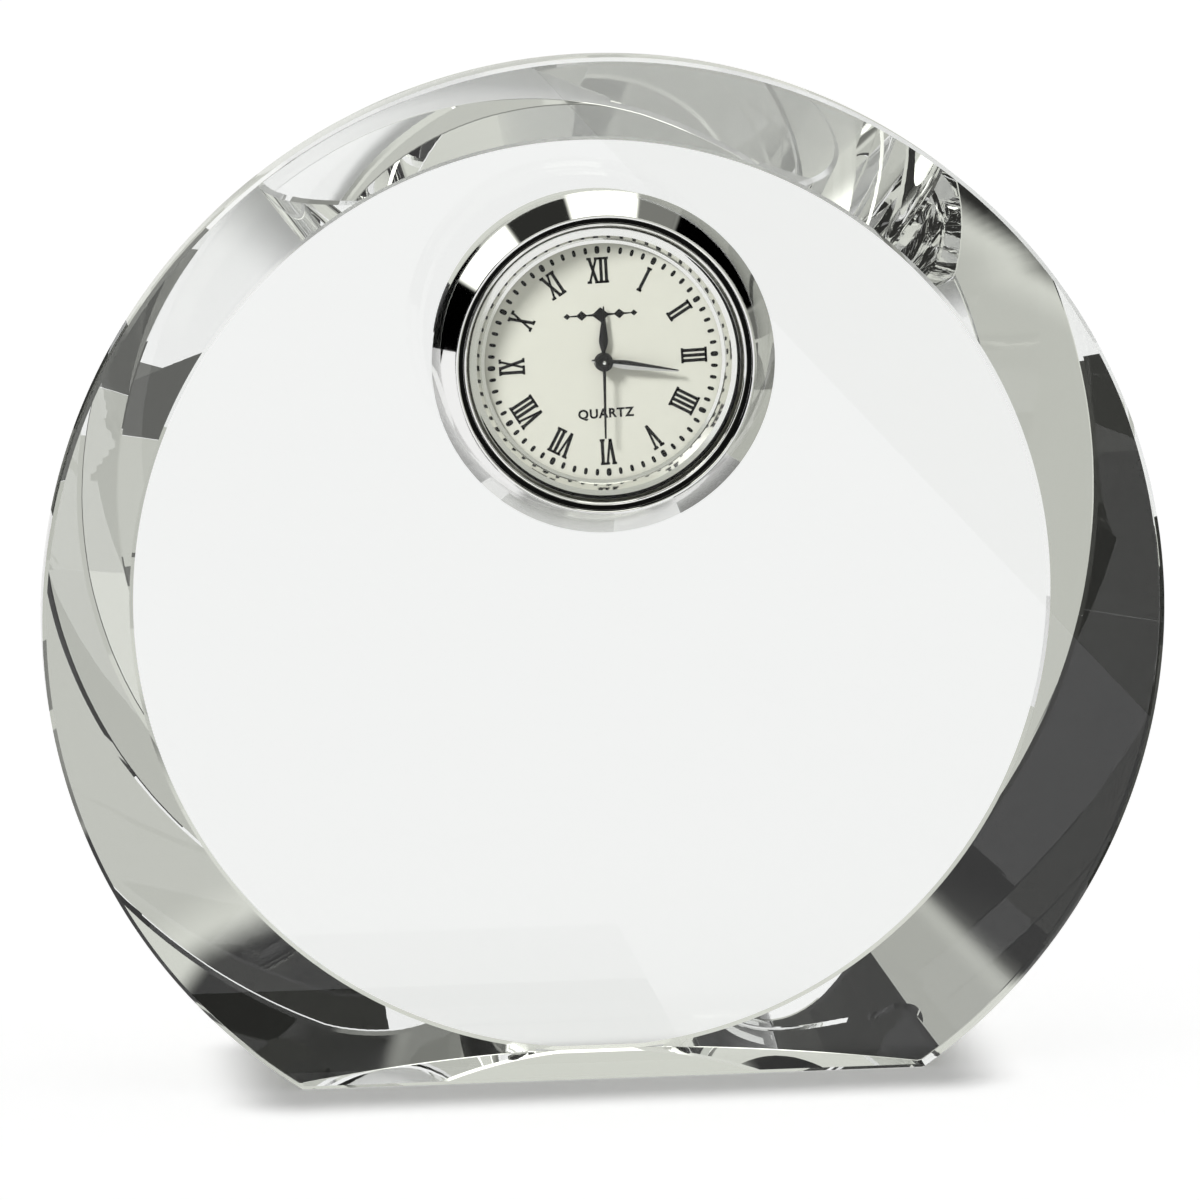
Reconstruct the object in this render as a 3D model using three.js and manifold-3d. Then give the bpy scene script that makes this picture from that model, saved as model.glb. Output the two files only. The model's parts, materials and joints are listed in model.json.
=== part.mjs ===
// A crystal desk clock: a thick glass disc that stands on a flat cut in its rim, with a small
// three-hand quartz clock pressed into a round hole near its top.
// Millimetres. The origin is the middle of the flat base, +Z is up and the dial faces -Y.
// Each group below has its own axes: +x to the right and +y up as seen from the front, and +z
// towards the viewer from the front face of the glass. Levels along z are negative inside it.
import * as THREE from "three";
import { mergeVertices } from "three/addons/utils/BufferGeometryUtils.js";
import Module from "manifold-3d";

const wasm = await Module();
wasm.setup();

// ---- Driving dimensions ----------------------------------------------------------------------

const GLASS = {
  radius: 60, // the disc that the base is cut from
  thickness: 25,
  centreHeight: 49.8, // middle of the disc above the base
  rimDepth: 5.5, // straight part of the rim, behind the front face
  backRadius: 50, // the back bevel runs in to this circle on the back face
  edge: 0.4, // polished chamfer round the front and back faces
  segments: 72,
};
const HOLE = {
  radius: 17.5,
  clear: 1.3, // left behind the setting knob
  rise: 27.8, // middle of the hole above the middle of the disc
  edge: 0.3,
};
const INSERT_TURN = 2.2; // the clock sits this many degrees anticlockwise of upright in its hole

const GAP = 0.3; // between faces that rest on each other
const FIT = 0.15; // round an arbor that turns
const RING_SEGMENTS = 36;
const SMALL_SEGMENTS = 12;

const BEZEL = {
  overhang: 0.75, // past the hole
  width: 3.55,
  crest: 2.3, // from the outer edge in to the highest circle, and so on
  step: 2.5,
  bead: 2.95,
  rimHeight: 0.5,
  height: 3.4,
  stepDrop: 0.45,
  crestEdge: 0.2,
  beadRise: 0.2,
  skirtWall: 0.3,
  skirtDepth: 1.7,
};
const LENS = { thickness: 0.9, drop: 0.5, edge: 0.15 }; // drop: its face below the top of the bezel
const REFLECTOR = { width: 1.8, lip: 0.4, foot: 0.15 };
const CASE = { wall: 0.7, room: 1.6, shoulder: 0.9, shoulderDepth: 0.6 }; // room: behind the bridge
const GRIP = { wall: 0.2, rib: 0.2, ribs: 3, crown: 0.2, front: 2.3, inset: 0.4 }; // crown: of a pitch
const COVER = { thickness: 0.7, lipWall: 0.4, lipDepth: 1.3, notch: 1.4, notchWidth: 4, clear: 0.4 };
const DIAL = { thickness: 0.4, footRadius: 0.4, footInset: 2, footAngle: 150 };

const HOUR_HAND = { length: 5.9, width: 1.1, widest: 2.4, hub: 1.1, thickness: 0.2, angle: 3.1 };
const MINUTE_HAND = { length: 8, width: 0.9, widest: 2.6, hub: 0.95, thickness: 0.2, angle: 100.3 };
const SECOND_HAND = { length: 8.1, width: 0.28, tail: 1.9, hub: 0.95, thickness: 0.2, angle: 182 };
const HAND_SPACING = 0.4; // from one hand's back to the next one's
const HAND_NECK = 0.35; // of its half width
const HUB_CAP = { radius: 0.6, height: 1.5 }; // of the second hand's hub and of its thickness
const WASHER = { radius: 2.4, thickness: 0.15, dish: 0.1 };
const SINK = 0.6; // how far a pivot, a foot or a screw goes into a plate

const PLATE = { thickness: 1, rimWidth: 1, setBack: 2.6 };
const BRIDGE = { thickness: 0.8, clear: 0.5, reach: 1.6 };
const POST = { radius: 1.1, bore: 0.6, clear: 0.6, spread: 10.3, core: 0.9 };
const SCREW = { head: 1, headDepth: 0.5, shank: 0.4, slot: 0.25, slotDepth: 0.2 };

// Toothed pairs: the pinion's teeth, the wheel's teeth and the module, which is the pitch
// diameter over the number of teeth.
// Where no module is given, it follows from the distance between the two axes.
const STEP_DOWN = { pinion: 8, wheel: 40, module: 0.175 }; // rotor to intermediate wheel
const TO_SECONDS = { pinion: 6, wheel: 36 };
const TO_THIRD = { pinion: 6, wheel: 48, module: 0.187 };
const TO_CENTRE = { pinion: 6, wheel: 45 };
const TO_MINUTE_WHEEL = { pinion: 12, wheel: 36 };
const TO_HOURS = { pinion: 10, wheel: 40 };
const TOOTH = { addendum: 0.9, dedendum: 1.15, tip: 0.2, root: 0.4 }; // last two: shares of the pitch
const WHEEL_THICKNESS = 0.4;
const PINION_LENGTH = 0.7;

const WHEEL_SPACING = 0.9; // from one wheel's back to the next one's
const ARBOR = { seconds: 0.15, tube: 0.45, pipe: 0.75, train: 0.3, setting: 0.5, wall: 0.2 };
const BOSS = { wall: 0.6, clear: 0.2 }; // round the tube, on the centre wheel
const FLANGE = { wall: 0.3, thickness: 0.15 }; // round the tube's back end
const PASSING = 0.26; // between an arbor and the teeth of a wheel that it passes
const THIRD_ANGLE = 200; // directions of the axes from the dial's middle, degrees
const INTERMEDIATE_ANGLE = 60;
const SETTING_ANGLE = 310;

const MAGNET = { radius: 1.5, thickness: 1.4 };
const STATOR = { thickness: 0.6, hole: 1.8, ring: 2.9, arm: 2, standoff: 1.1 };
const COIL = { middle: 0.8, rise: 10.3, length: 10.8, radius: 1.55, flange: 1.75, sleeve: 1.1 };
const BOBBIN = { flange: 0.5, clear: 0.1 };
const CORE = { width: 1, thickness: 0.5, span: 14, pad: 1.3 };
const BATTERY = { radius: 3.95, thickness: 3.6, cap: 3, capDepth: 0.5, inset: 0.65, edge: 0.2 };
const BOARD = { width: 4.6, inset: 0.5, top: 8.6, bottom: -9.3, thickness: 0.6, standoff: 0.4 };
const CHIP = { side: 2.4, thickness: 0.7, inset: 1.9, y: -4 }; // inset: from the board's straight edge
const QUARTZ = { radius: 1, length: 6, inset: 1.9, y: 2.6, edge: 0.3 };
const BOARD_SCREW = { inset: 1.7, y: -7.4 };
const CONTACT = { thickness: 0.25, width: 1.2, pad: 1.6, onBoard: 0.5 };
const KNOB = { radius: 2.2, length: 2.2, proud: 0.7, flutes: 12, flute: 0.25, end: 0.6 }; // end: unfluted

// ---- Sizes that follow from them ---------------------------------------------------------------

const at = (distance, degrees) => {
  const a = THREE.MathUtils.degToRad(degrees);
  return new THREE.Vector2(distance * Math.cos(a), distance * Math.sin(a));
};
const meshDistance = ({ pinion, wheel, module }) => (module * (pinion + wheel)) / 2;
const moduleFor = ({ pinion, wheel }, distance) => (2 * distance) / (pinion + wheel);
const wheelTip = ({ wheel, module }) => module * (wheel / 2 + TOOTH.addendum);

// The third wheel sets the distances: the centre wheel shares its distance, and the arbors of the
// intermediate wheel and the setting knob stand just outside the centre wheel's teeth.
const CENTRE_AXIS = new THREE.Vector2(0, 0);
const THIRD_AXIS = at(meshDistance(TO_THIRD), THIRD_ANGLE);
TO_CENTRE.module = moduleFor(TO_CENTRE, meshDistance(TO_THIRD));
const INTERMEDIATE_DISTANCE = wheelTip(TO_CENTRE) + ARBOR.train + PASSING;
const SETTING_DISTANCE = wheelTip(TO_CENTRE) + ARBOR.setting + PASSING;
TO_SECONDS.module = moduleFor(TO_SECONDS, INTERMEDIATE_DISTANCE);
TO_MINUTE_WHEEL.module = moduleFor(TO_MINUTE_WHEEL, SETTING_DISTANCE);
TO_HOURS.module = moduleFor(TO_HOURS, SETTING_DISTANCE);
const SETTING_AXIS = at(SETTING_DISTANCE, SETTING_ANGLE);
const INTERMEDIATE_AXIS = at(INTERMEDIATE_DISTANCE, INTERMEDIATE_ANGLE);
const ROTOR_AXIS = INTERMEDIATE_AXIS.clone().add(at(meshDistance(STEP_DOWN), 0));

const BEZEL_RADIUS = HOLE.radius + BEZEL.overhang;
const BEZEL_BORE = BEZEL_RADIUS - BEZEL.width;
const SKIRT_RADIUS = HOLE.radius - GAP;
const CASE_RADIUS = SKIRT_RADIUS - BEZEL.skirtWall - GAP;
const CASE_BORE = CASE_RADIUS - CASE.wall;
const SHOULDER_BORE = CASE_BORE - CASE.shoulder;
const GLAZING_RADIUS = BEZEL_BORE - GAP; // of the lens and the reflector ring
const LENS_FRONT = BEZEL.height - LENS.drop;
const LENS_BACK = LENS_FRONT - LENS.thickness;

const DIAL_RADIUS = CASE_BORE - 0.5;
const DIAL_FRONT = 0;
const DIAL_BACK = DIAL_FRONT - DIAL.thickness;
const DIAL_FEET = [0, 180].map((turn) => at(DIAL_RADIUS - DIAL.footInset, DIAL.footAngle + turn));
const HOUR_HAND_BACK = DIAL_FRONT + 0.5;
const MINUTE_HAND_BACK = HOUR_HAND_BACK + HAND_SPACING;
const SECOND_HAND_BACK = MINUTE_HAND_BACK + HAND_SPACING;

const PLATE_FRONT = -PLATE.setBack;
const PLATE_BACK = PLATE_FRONT - PLATE.thickness;
const HOUR_WHEEL_BACK = PLATE_FRONT + 1.1;
const MINUTE_WHEEL_BACK = PLATE_FRONT + 0.3;
const CENTRE_WHEEL_BACK = PLATE_BACK - 0.8;
const THIRD_WHEEL_BACK = CENTRE_WHEEL_BACK - WHEEL_SPACING;
const SECOND_WHEEL_BACK = THIRD_WHEEL_BACK - WHEEL_SPACING;
const INTERMEDIATE_WHEEL_BACK = SECOND_WHEEL_BACK - WHEEL_SPACING;
const BRIDGE_FRONT = INTERMEDIATE_WHEEL_BACK - BRIDGE.clear;
const BRIDGE_BACK = BRIDGE_FRONT - BRIDGE.thickness;
const PIVOT_FRONT = PLATE_BACK + SINK; // the train's arbors end inside the plate and the bridge
const PIVOT_BACK = BRIDGE_FRONT - SINK;
const CASE_BACK = BRIDGE_BACK - CASE.room;
const COVER_FRONT = CASE_BACK - GAP;
const COVER_BACK = COVER_FRONT - COVER.thickness;
const KNOB_BACK = COVER_BACK - KNOB.proud;
const KNOB_FRONT = KNOB_BACK + KNOB.length;
const HOLE_END = KNOB_BACK - HOLE.clear;

const thirdWheelPost = (angle) =>
  THIRD_AXIS.clone().add(at(wheelTip(TO_THIRD) + POST.clear + POST.radius, angle));
const POSTS = [thirdWheelPost(116), at(POST.spread, -14), thirdWheelPost(247)];

const STATOR_FRONT = PLATE_BACK - STATOR.standoff;
const STATOR_BACK = STATOR_FRONT - STATOR.thickness;
const STATOR_LEVEL = (STATOR_FRONT + STATOR_BACK) / 2;
const CORE_FRONT = STATOR_BACK - GAP;
const CORE_BACK = CORE_FRONT - CORE.thickness;
const CORE_LEVEL = (CORE_FRONT + CORE_BACK) / 2;
const CORE_PADS = [-1, 1].map(
  (side) => new THREE.Vector2(COIL.middle + (side * CORE.span) / 2, COIL.rise),
);

const BATTERY_AXIS = new THREE.Vector2(0, BATTERY.radius + BATTERY.inset - SHOULDER_BORE);
const BATTERY_FRONT = PLATE_BACK - CONTACT.thickness - 2 * GAP;
const BATTERY_BACK = BATTERY_FRONT - BATTERY.thickness;
const BATTERY_WELL = BATTERY.radius + GAP + CONTACT.thickness + GAP; // clear of its spring
const BOARD_RADIUS = SHOULDER_BORE - BOARD.inset;
const BOARD_EDGE = BOARD.width - BOARD_RADIUS; // the straight edge beside the train
const BOARD_BACK = PLATE_BACK - BOARD.standoff - BOARD.thickness;
const onBoard = ({ inset, y }) => new THREE.Vector2(BOARD_EDGE - inset, y);

// ---- Finishes ----------------------------------------------------------------------------------

const finish = (color, roughness, metalness, extra = {}) =>
  new THREE.MeshStandardMaterial({ color, roughness, metalness, ...extra });

const CRYSTAL = finish(0xe4e9e6, 0.03, 0, { transparent: true, opacity: 0.35 });
const LENS_GLASS = finish(0xf2f4f2, 0.03, 0, { transparent: true, opacity: 0.25 });
const CHROME = finish(0xc9cbca, 0.08, 1);
const DIAL_WHITE = finish(0xe6e6dc, 0.55, 0);
const HAND_BLACK = finish(0x15171a, 0.3, 0.4);
const STEEL = finish(0x9a9c9d, 0.35, 1);
const BRASS = finish(0xb08d45, 0.35, 1);
const COPPER = finish(0xa8562c, 0.4, 0.9);
const DARK_IRON = finish(0x5a5c60, 0.5, 1);
const BLACK_PLASTIC = finish(0x1c1d1f, 0.5, 0);
const WHITE_PLASTIC = finish(0xe3e1da, 0.5, 0);
const RUBBER = finish(0x232325, 0.8, 0);
const BOARD_GREEN = finish(0x1f5a38, 0.5, 0);
const EPOXY = finish(0x141416, 0.4, 0);

// ---- Shapes ------------------------------------------------------------------------------------

// A closed geometry as a manifold-3d solid, for cutting and joining.
function solidOf(geometry) {
  const bare = geometry.clone();
  bare.deleteAttribute("normal");
  bare.deleteAttribute("uv");
  const merged = mergeVertices(bare, 1e-4);
  return new wasm.Manifold(
    new wasm.Mesh({
      numProp: 3,
      vertProperties: merged.attributes.position.array,
      triVerts: new Uint32Array(merged.index.array),
    }),
  );
}

function geometryOf(solid) {
  const mesh = solid.getMesh();
  const geometry = new THREE.BufferGeometry();
  geometry.setAttribute("position", new THREE.BufferAttribute(mesh.vertProperties, 3));
  geometry.setIndex(new THREE.BufferAttribute(mesh.triVerts, 1));
  geometry.computeVertexNormals();
  return geometry;
}

const join = (...solids) => solids.reduce((whole, next) => whole.add(next));
const cut = (solid, ...tools) => tools.reduce((rest, tool) => rest.subtract(tool), solid);

// A round bar along z between two levels, its axis at `place`.
function bar(radius, back, front, place = CENTRE_AXIS, segments = SMALL_SEGMENTS) {
  const geometry = new THREE.CylinderGeometry(radius, radius, front - back, segments);
  geometry.rotateX(Math.PI / 2).translate(place.x, place.y, (back + front) / 2);
  return solidOf(geometry);
}

// A body turned about z. The profile's points are [radius, level], from the back round the
// outside to the front, and a ring's profile comes back inside to its first point.
function turned(profile, segments = RING_SEGMENTS) {
  const points = profile.map(([r, level]) => new THREE.Vector2(r, level));
  const onAxis = points[0].x === 0 && points.at(-1).x === 0;
  if (!onAxis) points.push(points[0].clone());
  return solidOf(new THREE.LatheGeometry(points, segments).rotateX(Math.PI / 2));
}

function block(width, height, back, front, place = CENTRE_AXIS) {
  const geometry = new THREE.BoxGeometry(width, height, front - back);
  return solidOf(geometry.translate(place.x, place.y, (back + front) / 2));
}

function plate(shape, back, front) {
  const options = { depth: front - back, bevelEnabled: false, curveSegments: 8 };
  return solidOf(new THREE.ExtrudeGeometry(shape, options).translate(0, 0, back));
}

// A flat strip of the given width between two points, with square ends.
function strip(from, to, width, back, front) {
  const along = to.clone().sub(from);
  const geometry = new THREE.BoxGeometry(along.length(), width, front - back);
  const middle = from.clone().add(to).multiplyScalar(0.5);
  geometry.rotateZ(along.angle()).translate(middle.x, middle.y, (back + front) / 2);
  return solidOf(geometry);
}

// A toothed disc. `facing` is the direction, in radians, of the wheel it meshes with: a pinion
// turns a tooth that way, and a wheel a gap.
function toothed(teeth, module, facing, back, front) {
  const rootRadius = module * (teeth / 2 - TOOTH.dedendum);
  const tipRadius = module * (teeth / 2 + TOOTH.addendum);
  const pitch = (2 * Math.PI) / teeth;
  const points = [];
  for (let i = 0; i < teeth; i++) {
    const middle = facing + i * pitch;
    const corner = (radius, share) =>
      new THREE.Vector2(radius, 0).rotateAround(CENTRE_AXIS, middle + share * pitch);
    points.push(
      corner(rootRadius, -TOOTH.root / 2),
      corner(tipRadius, -TOOTH.tip / 2),
      corner(tipRadius, TOOTH.tip / 2),
      corner(rootRadius, TOOTH.root / 2),
    );
  }
  return plate(new THREE.Shape(points), back, front);
}

// The pinion of a pair, for the arbor at `axis`, in mesh with the wheel whose axis is `mate`.
function pinionOf(pair, axis, mate, middle) {
  const facing = mate.clone().sub(axis).angle();
  const half = PINION_LENGTH / 2;
  return toothed(pair.pinion, pair.module, facing, middle - half, middle + half);
}

function wheelOf(pair, axis, mate, back) {
  const facing = mate.clone().sub(axis).angle() + Math.PI / pair.wheel;
  return toothed(pair.wheel, pair.module, facing, back, back + WHEEL_THICKNESS);
}

const pinionLevel = (wheelBack) => wheelBack + WHEEL_THICKNESS / 2;

// ---- Assembly ----------------------------------------------------------------------------------

const clock = new THREE.Group();
const glass = new THREE.Group(); // its z axis is the middle of the disc
glass.position.set(0, -GLASS.thickness / 2, GLASS.centreHeight);
glass.rotation.x = Math.PI / 2;
const insert = new THREE.Group(); // its z axis is the middle of the dial
insert.position.set(0, HOLE.rise, 0);
insert.rotation.z = THREE.MathUtils.degToRad(INSERT_TURN);
glass.add(insert);
clock.add(glass);

function addTo(group, name, solid, material, place = CENTRE_AXIS) {
  const mesh = new THREE.Mesh(geometryOf(solid), material);
  mesh.name = name;
  mesh.position.set(place.x, place.y, 0);
  group.add(mesh);
  return mesh;
}

const addPart = (name, solid, material, place) => addTo(insert, name, solid, material, place);

// The glass: a disc with a straight rim and a long back bevel, cut flat below and bored blind.
function makeGlass() {
  const { radius, thickness, rimDepth, backRadius, edge, segments, centreHeight } = GLASS;
  const disc = turned(
    [
      [0, -thickness],
      [backRadius - edge, -thickness],
      [backRadius, -thickness + edge],
      [radius, -rimDepth],
      [radius, -edge],
      [radius - edge, 0],
      [0, 0],
    ],
    segments,
  );
  const below = block(3 * radius, radius, -2 * thickness, thickness, {
    x: 0,
    y: -centreHeight - radius / 2,
  });
  const hole = turned(
    [
      [0, HOLE_END],
      [HOLE.radius, HOLE_END],
      [HOLE.radius, -HOLE.edge],
      [HOLE.radius + 2 * HOLE.edge, HOLE.edge],
      [0, HOLE.edge],
    ],
    RING_SEGMENTS,
  ).translate([0, HOLE.rise, 0]);
  addTo(glass, "crystal_block", cut(disc, below, hole), CRYSTAL);
}

// The bezel: a conical chrome band with a step and a fine bead inside it, and a thin skirt that
// closes over the front of the case.
function makeBezel() {
  const { rimHeight, height, crestEdge, beadRise } = BEZEL;
  const rimLevel = GAP + rimHeight;
  const crestRadius = BEZEL_RADIUS - BEZEL.crest;
  const stepRadius = BEZEL_RADIUS - BEZEL.step;
  const beadRadius = BEZEL_RADIUS - BEZEL.bead;
  const stepLevel = height - BEZEL.stepDrop;
  const band = turned([
    [BEZEL_BORE, GAP],
    [BEZEL_RADIUS, GAP],
    [BEZEL_RADIUS, rimLevel],
    [crestRadius + crestEdge, height - crestEdge],
    [crestRadius, height],
    [stepRadius + crestEdge / 2, height],
    [stepRadius, height - crestEdge / 2],
    [stepRadius, stepLevel],
    [beadRadius, stepLevel],
    [beadRadius - beadRise / 2, stepLevel + beadRise],
    [BEZEL_BORE + beadRise / 2, stepLevel + beadRise],
    [BEZEL_BORE, stepLevel],
  ]);
  const skirt = turned([
    [SKIRT_RADIUS - BEZEL.skirtWall, -BEZEL.skirtDepth],
    [SKIRT_RADIUS, -BEZEL.skirtDepth],
    [SKIRT_RADIUS, 2 * GAP],
    [SKIRT_RADIUS - BEZEL.skirtWall, 2 * GAP],
  ]);
  addPart("bezel", join(band, skirt), CHROME);
}

function makeGlazing() {
  const lens = turned([
    [0, LENS_BACK],
    [GLAZING_RADIUS, LENS_BACK],
    [GLAZING_RADIUS, LENS_FRONT - LENS.edge],
    [GLAZING_RADIUS - LENS.edge, LENS_FRONT],
    [0, LENS_FRONT],
  ]);
  addPart("lens", lens, LENS_GLASS);
  const reflectorBore = GLAZING_RADIUS - REFLECTOR.width;
  const reflector = turned([
    [reflectorBore, DIAL_FRONT + GAP],
    [GLAZING_RADIUS, DIAL_FRONT + GAP],
    [GLAZING_RADIUS, LENS_BACK - GAP],
    [GLAZING_RADIUS - REFLECTOR.lip, LENS_BACK - GAP],
    [reflectorBore, DIAL_FRONT + GAP + REFLECTOR.foot],
  ]);
  addPart("reflector_ring", reflector, CHROME);
}

function makeDial() {
  const footEnd = PLATE_FRONT - SINK;
  const feet = DIAL_FEET.map((p) => bar(DIAL.footRadius, footEnd, DIAL_BACK + DIAL.thickness / 2, p, 8));
  const disc = bar(DIAL_RADIUS, DIAL_BACK, DIAL_FRONT, CENTRE_AXIS, RING_SEGMENTS);
  const hole = bar(ARBOR.pipe + FIT, DIAL_BACK - 1, DIAL_FRONT + 1);
  addPart("dial", join(cut(disc, hole), ...feet), DIAL_WHITE);
  const rimFront = DIAL_BACK - FIT;
  const washer = turned(
    [
      [ARBOR.pipe + FIT, rimFront - WASHER.thickness - WASHER.dish],
      [WASHER.radius, rimFront - WASHER.thickness],
      [WASHER.radius, rimFront],
      [ARBOR.pipe + FIT, rimFront - WASHER.dish],
    ],
    SMALL_SEGMENTS * 2,
  );
  addPart("dial_washer", washer, BRASS);
}

// A leaf-shaped hand that points along `angle`, clockwise from twelve, on a round hub.
function makeHand(name, hand, back, bore) {
  const half = hand.width / 2;
  const neck = half * HAND_NECK;
  const leaf = new THREE.Shape([
    new THREE.Vector2(-neck, 0),
    new THREE.Vector2(neck, 0),
    new THREE.Vector2(neck, hand.hub),
    new THREE.Vector2(half, hand.widest),
    new THREE.Vector2(neck / 2, hand.length),
    new THREE.Vector2(-neck / 2, hand.length),
    new THREE.Vector2(-half, hand.widest),
    new THREE.Vector2(-neck, hand.hub),
  ]);
  const front = back + hand.thickness;
  const blank = join(plate(leaf, back, front), bar(hand.hub, back, front));
  const mesh = addPart(name, cut(blank, bar(bore + FIT / 2, back - 1, front + 1)), HAND_BLACK);
  mesh.rotation.z = -THREE.MathUtils.degToRad(hand.angle);
}

function makeSecondHand() {
  const { length, width, tail, hub, thickness, angle } = SECOND_HAND;
  const back = SECOND_HAND_BACK;
  const needle = block(width, length + tail, back, back + thickness, {
    x: 0,
    y: (length - tail) / 2,
  });
  const cap = bar(hub * HUB_CAP.radius, back, back + HUB_CAP.height * thickness);
  const boss = join(bar(hub, back, back + thickness), cap);
  const hole = bar(ARBOR.seconds + FIT / 2, back - 1, back + 1);
  const mesh = addPart("second_hand", cut(join(needle, boss), hole), HAND_BLACK);
  mesh.rotation.z = -THREE.MathUtils.degToRad(angle);
}

// The case is a tube with an inner shoulder that carries the movement. The grip ring round it
// holds it in the glass, and a snap cover closes its back, with a hole for the setting knob.
function makeCase() {
  const seat = PLATE_BACK - GAP;
  const tube = turned([
    [CASE_BORE, CASE_BACK],
    [CASE_RADIUS, CASE_BACK],
    [CASE_RADIUS, 0],
    [CASE_BORE, 0],
    [CASE_BORE, seat],
    [SHOULDER_BORE, seat],
    [SHOULDER_BORE, seat - CASE.shoulderDepth],
    [CASE_BORE, seat - CASE.shoulderDepth],
  ]);
  addPart("insert_case", tube, STEEL);

  const inner = CASE_RADIUS + GAP;
  const wall = inner + GRIP.wall;
  const gripBack = CASE_BACK + GRIP.inset;
  const pitch = (-GRIP.front - gripBack) / GRIP.ribs;
  const outside = [[wall, gripBack]];
  for (let i = 0; i < GRIP.ribs; i++) {
    const level = gripBack + i * pitch;
    const middle = level + pitch / 2;
    const half = (pitch * GRIP.crown) / 2;
    outside.push([wall + GRIP.rib, middle - half], [wall + GRIP.rib, middle + half]);
    outside.push([wall, level + pitch]);
  }
  const ring = turned([[inner, gripBack], ...outside, [inner, -GRIP.front]]);
  addPart("grip_ring", ring, RUBBER);

  const lipRadius = CASE_BORE - GAP;
  const disc = bar(CASE_RADIUS, COVER_BACK, COVER_FRONT, CENTRE_AXIS, RING_SEGMENTS);
  const lip = turned([
    [lipRadius - COVER.lipWall, COVER_FRONT - COVER.thickness / 2],
    [lipRadius, COVER_FRONT - COVER.thickness / 2],
    [lipRadius, COVER_FRONT + COVER.lipDepth],
    [lipRadius - COVER.lipWall, COVER_FRONT + COVER.lipDepth],
  ]);
  const knobHole = bar(KNOB.radius + COVER.clear, COVER_BACK - 1, COVER_FRONT + 1, SETTING_AXIS, 28);
  const notch = block(COVER.notchWidth, COVER.notch, COVER_BACK - 1, COVER_FRONT + 0.01, {
    x: 0,
    y: -CASE_RADIUS,
  });
  addPart("back_cover", cut(join(disc, lip), knobHole, notch), BLACK_PLASTIC);
}

// The main plate: a disc with a rim that the dial rests on, posts for the bridge and the coil
// core on its back, and a hole for each arbor, dial foot and screw.
function makePlates() {
  const radius = DIAL_RADIUS;
  const disc = turned([
    [0, PLATE_BACK],
    [radius, PLATE_BACK],
    [radius, DIAL_BACK - GAP],
    [radius - PLATE.rimWidth, DIAL_BACK - GAP],
    [radius - PLATE.rimWidth, PLATE_FRONT],
    [0, PLATE_FRONT],
  ]);
  const inPlate = PLATE_BACK + PLATE.thickness / 2;
  const bridgePosts = POSTS.map((place) => bar(POST.radius, BRIDGE_FRONT + GAP, inPlate, place));
  const corePosts = CORE_PADS.map((place) => bar(POST.core, STATOR_FRONT + GAP, inPlate, place));
  const through = (r, place) => bar(r, BRIDGE_FRONT - 1, PLATE_FRONT + 1, place);
  const holes = [
    through(ARBOR.tube + FIT, CENTRE_AXIS),
    through(ARBOR.setting + FIT, SETTING_AXIS),
    ...[THIRD_AXIS, INTERMEDIATE_AXIS, ROTOR_AXIS].map((p) => through(ARBOR.train + FIT, p)),
    ...[...POSTS, ...CORE_PADS, onBoard(BOARD_SCREW)].map((p) => through(POST.bore, p)),
    ...DIAL_FEET.map((p) => through(DIAL.footRadius + FIT, p)),
  ];
  addPart("main_plate", cut(join(disc, ...bridgePosts, ...corePosts), ...holes), WHITE_PLASTIC);

  const corner = (place) => bar(BRIDGE.reach, BRIDGE_BACK, BRIDGE_FRONT, place);
  const corners = [POSTS[0], ROTOR_AXIS, POSTS[1], POSTS[2]];
  const middle = plate(new THREE.Shape([...corners].reverse()), BRIDGE_BACK, BRIDGE_FRONT);
  const edges = corners.map((place, i) =>
    strip(
      place,
      corners[(i + 1) % corners.length],
      2 * BRIDGE.reach,
      BRIDGE_BACK,
      BRIDGE_FRONT,
    ),
  );
  const inBridge = (r, place) => bar(r, BRIDGE_BACK - 1, BRIDGE_FRONT + 1, place);
  const bridgeHoles = [
    inBridge(ARBOR.seconds + FIT, CENTRE_AXIS),
    inBridge(ARBOR.setting + FIT, SETTING_AXIS),
    ...[THIRD_AXIS, INTERMEDIATE_AXIS, ROTOR_AXIS].map((p) => inBridge(ARBOR.train + FIT, p)),
    ...POSTS.map((p) => inBridge(POST.bore, p)),
    bar(BATTERY_WELL, BRIDGE_BACK - 1, BRIDGE_FRONT + 1, BATTERY_AXIS, RING_SEGMENTS / 2),
  ];
  const blank = join(middle, ...edges, ...corners.map(corner));
  addPart("train_bridge", cut(blank, ...bridgeHoles), WHITE_PLASTIC);
}

// A slotted screw whose head faces the back, resting GAP behind `seat`, with its tip at `tip`.
function makeScrew(name, place, seat, tip) {
  const headFront = seat - GAP;
  const headBack = headFront - SCREW.headDepth;
  const body = join(
    bar(SCREW.head, headBack, headFront),
    bar(SCREW.shank, headBack + SCREW.slotDepth, tip, CENTRE_AXIS, 8),
  );
  const slot = block(3 * SCREW.head, SCREW.slot, headBack - 1, headBack + SCREW.slotDepth);
  addPart(name, cut(body, slot), STEEL, place);
}

function makeScrews() {
  POSTS.forEach((place, i) =>
    makeScrew(`bridge_screw_${i + 1}`, place, BRIDGE_BACK, PLATE_BACK + SINK / 2),
  );
  CORE_PADS.forEach((place, i) =>
    makeScrew(`core_screw_${i + 1}`, place, CORE_BACK, PLATE_BACK + SINK / 2),
  );
  makeScrew("board_screw", onBoard(BOARD_SCREW), BOARD_BACK, PLATE_BACK + SINK);
}

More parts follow.
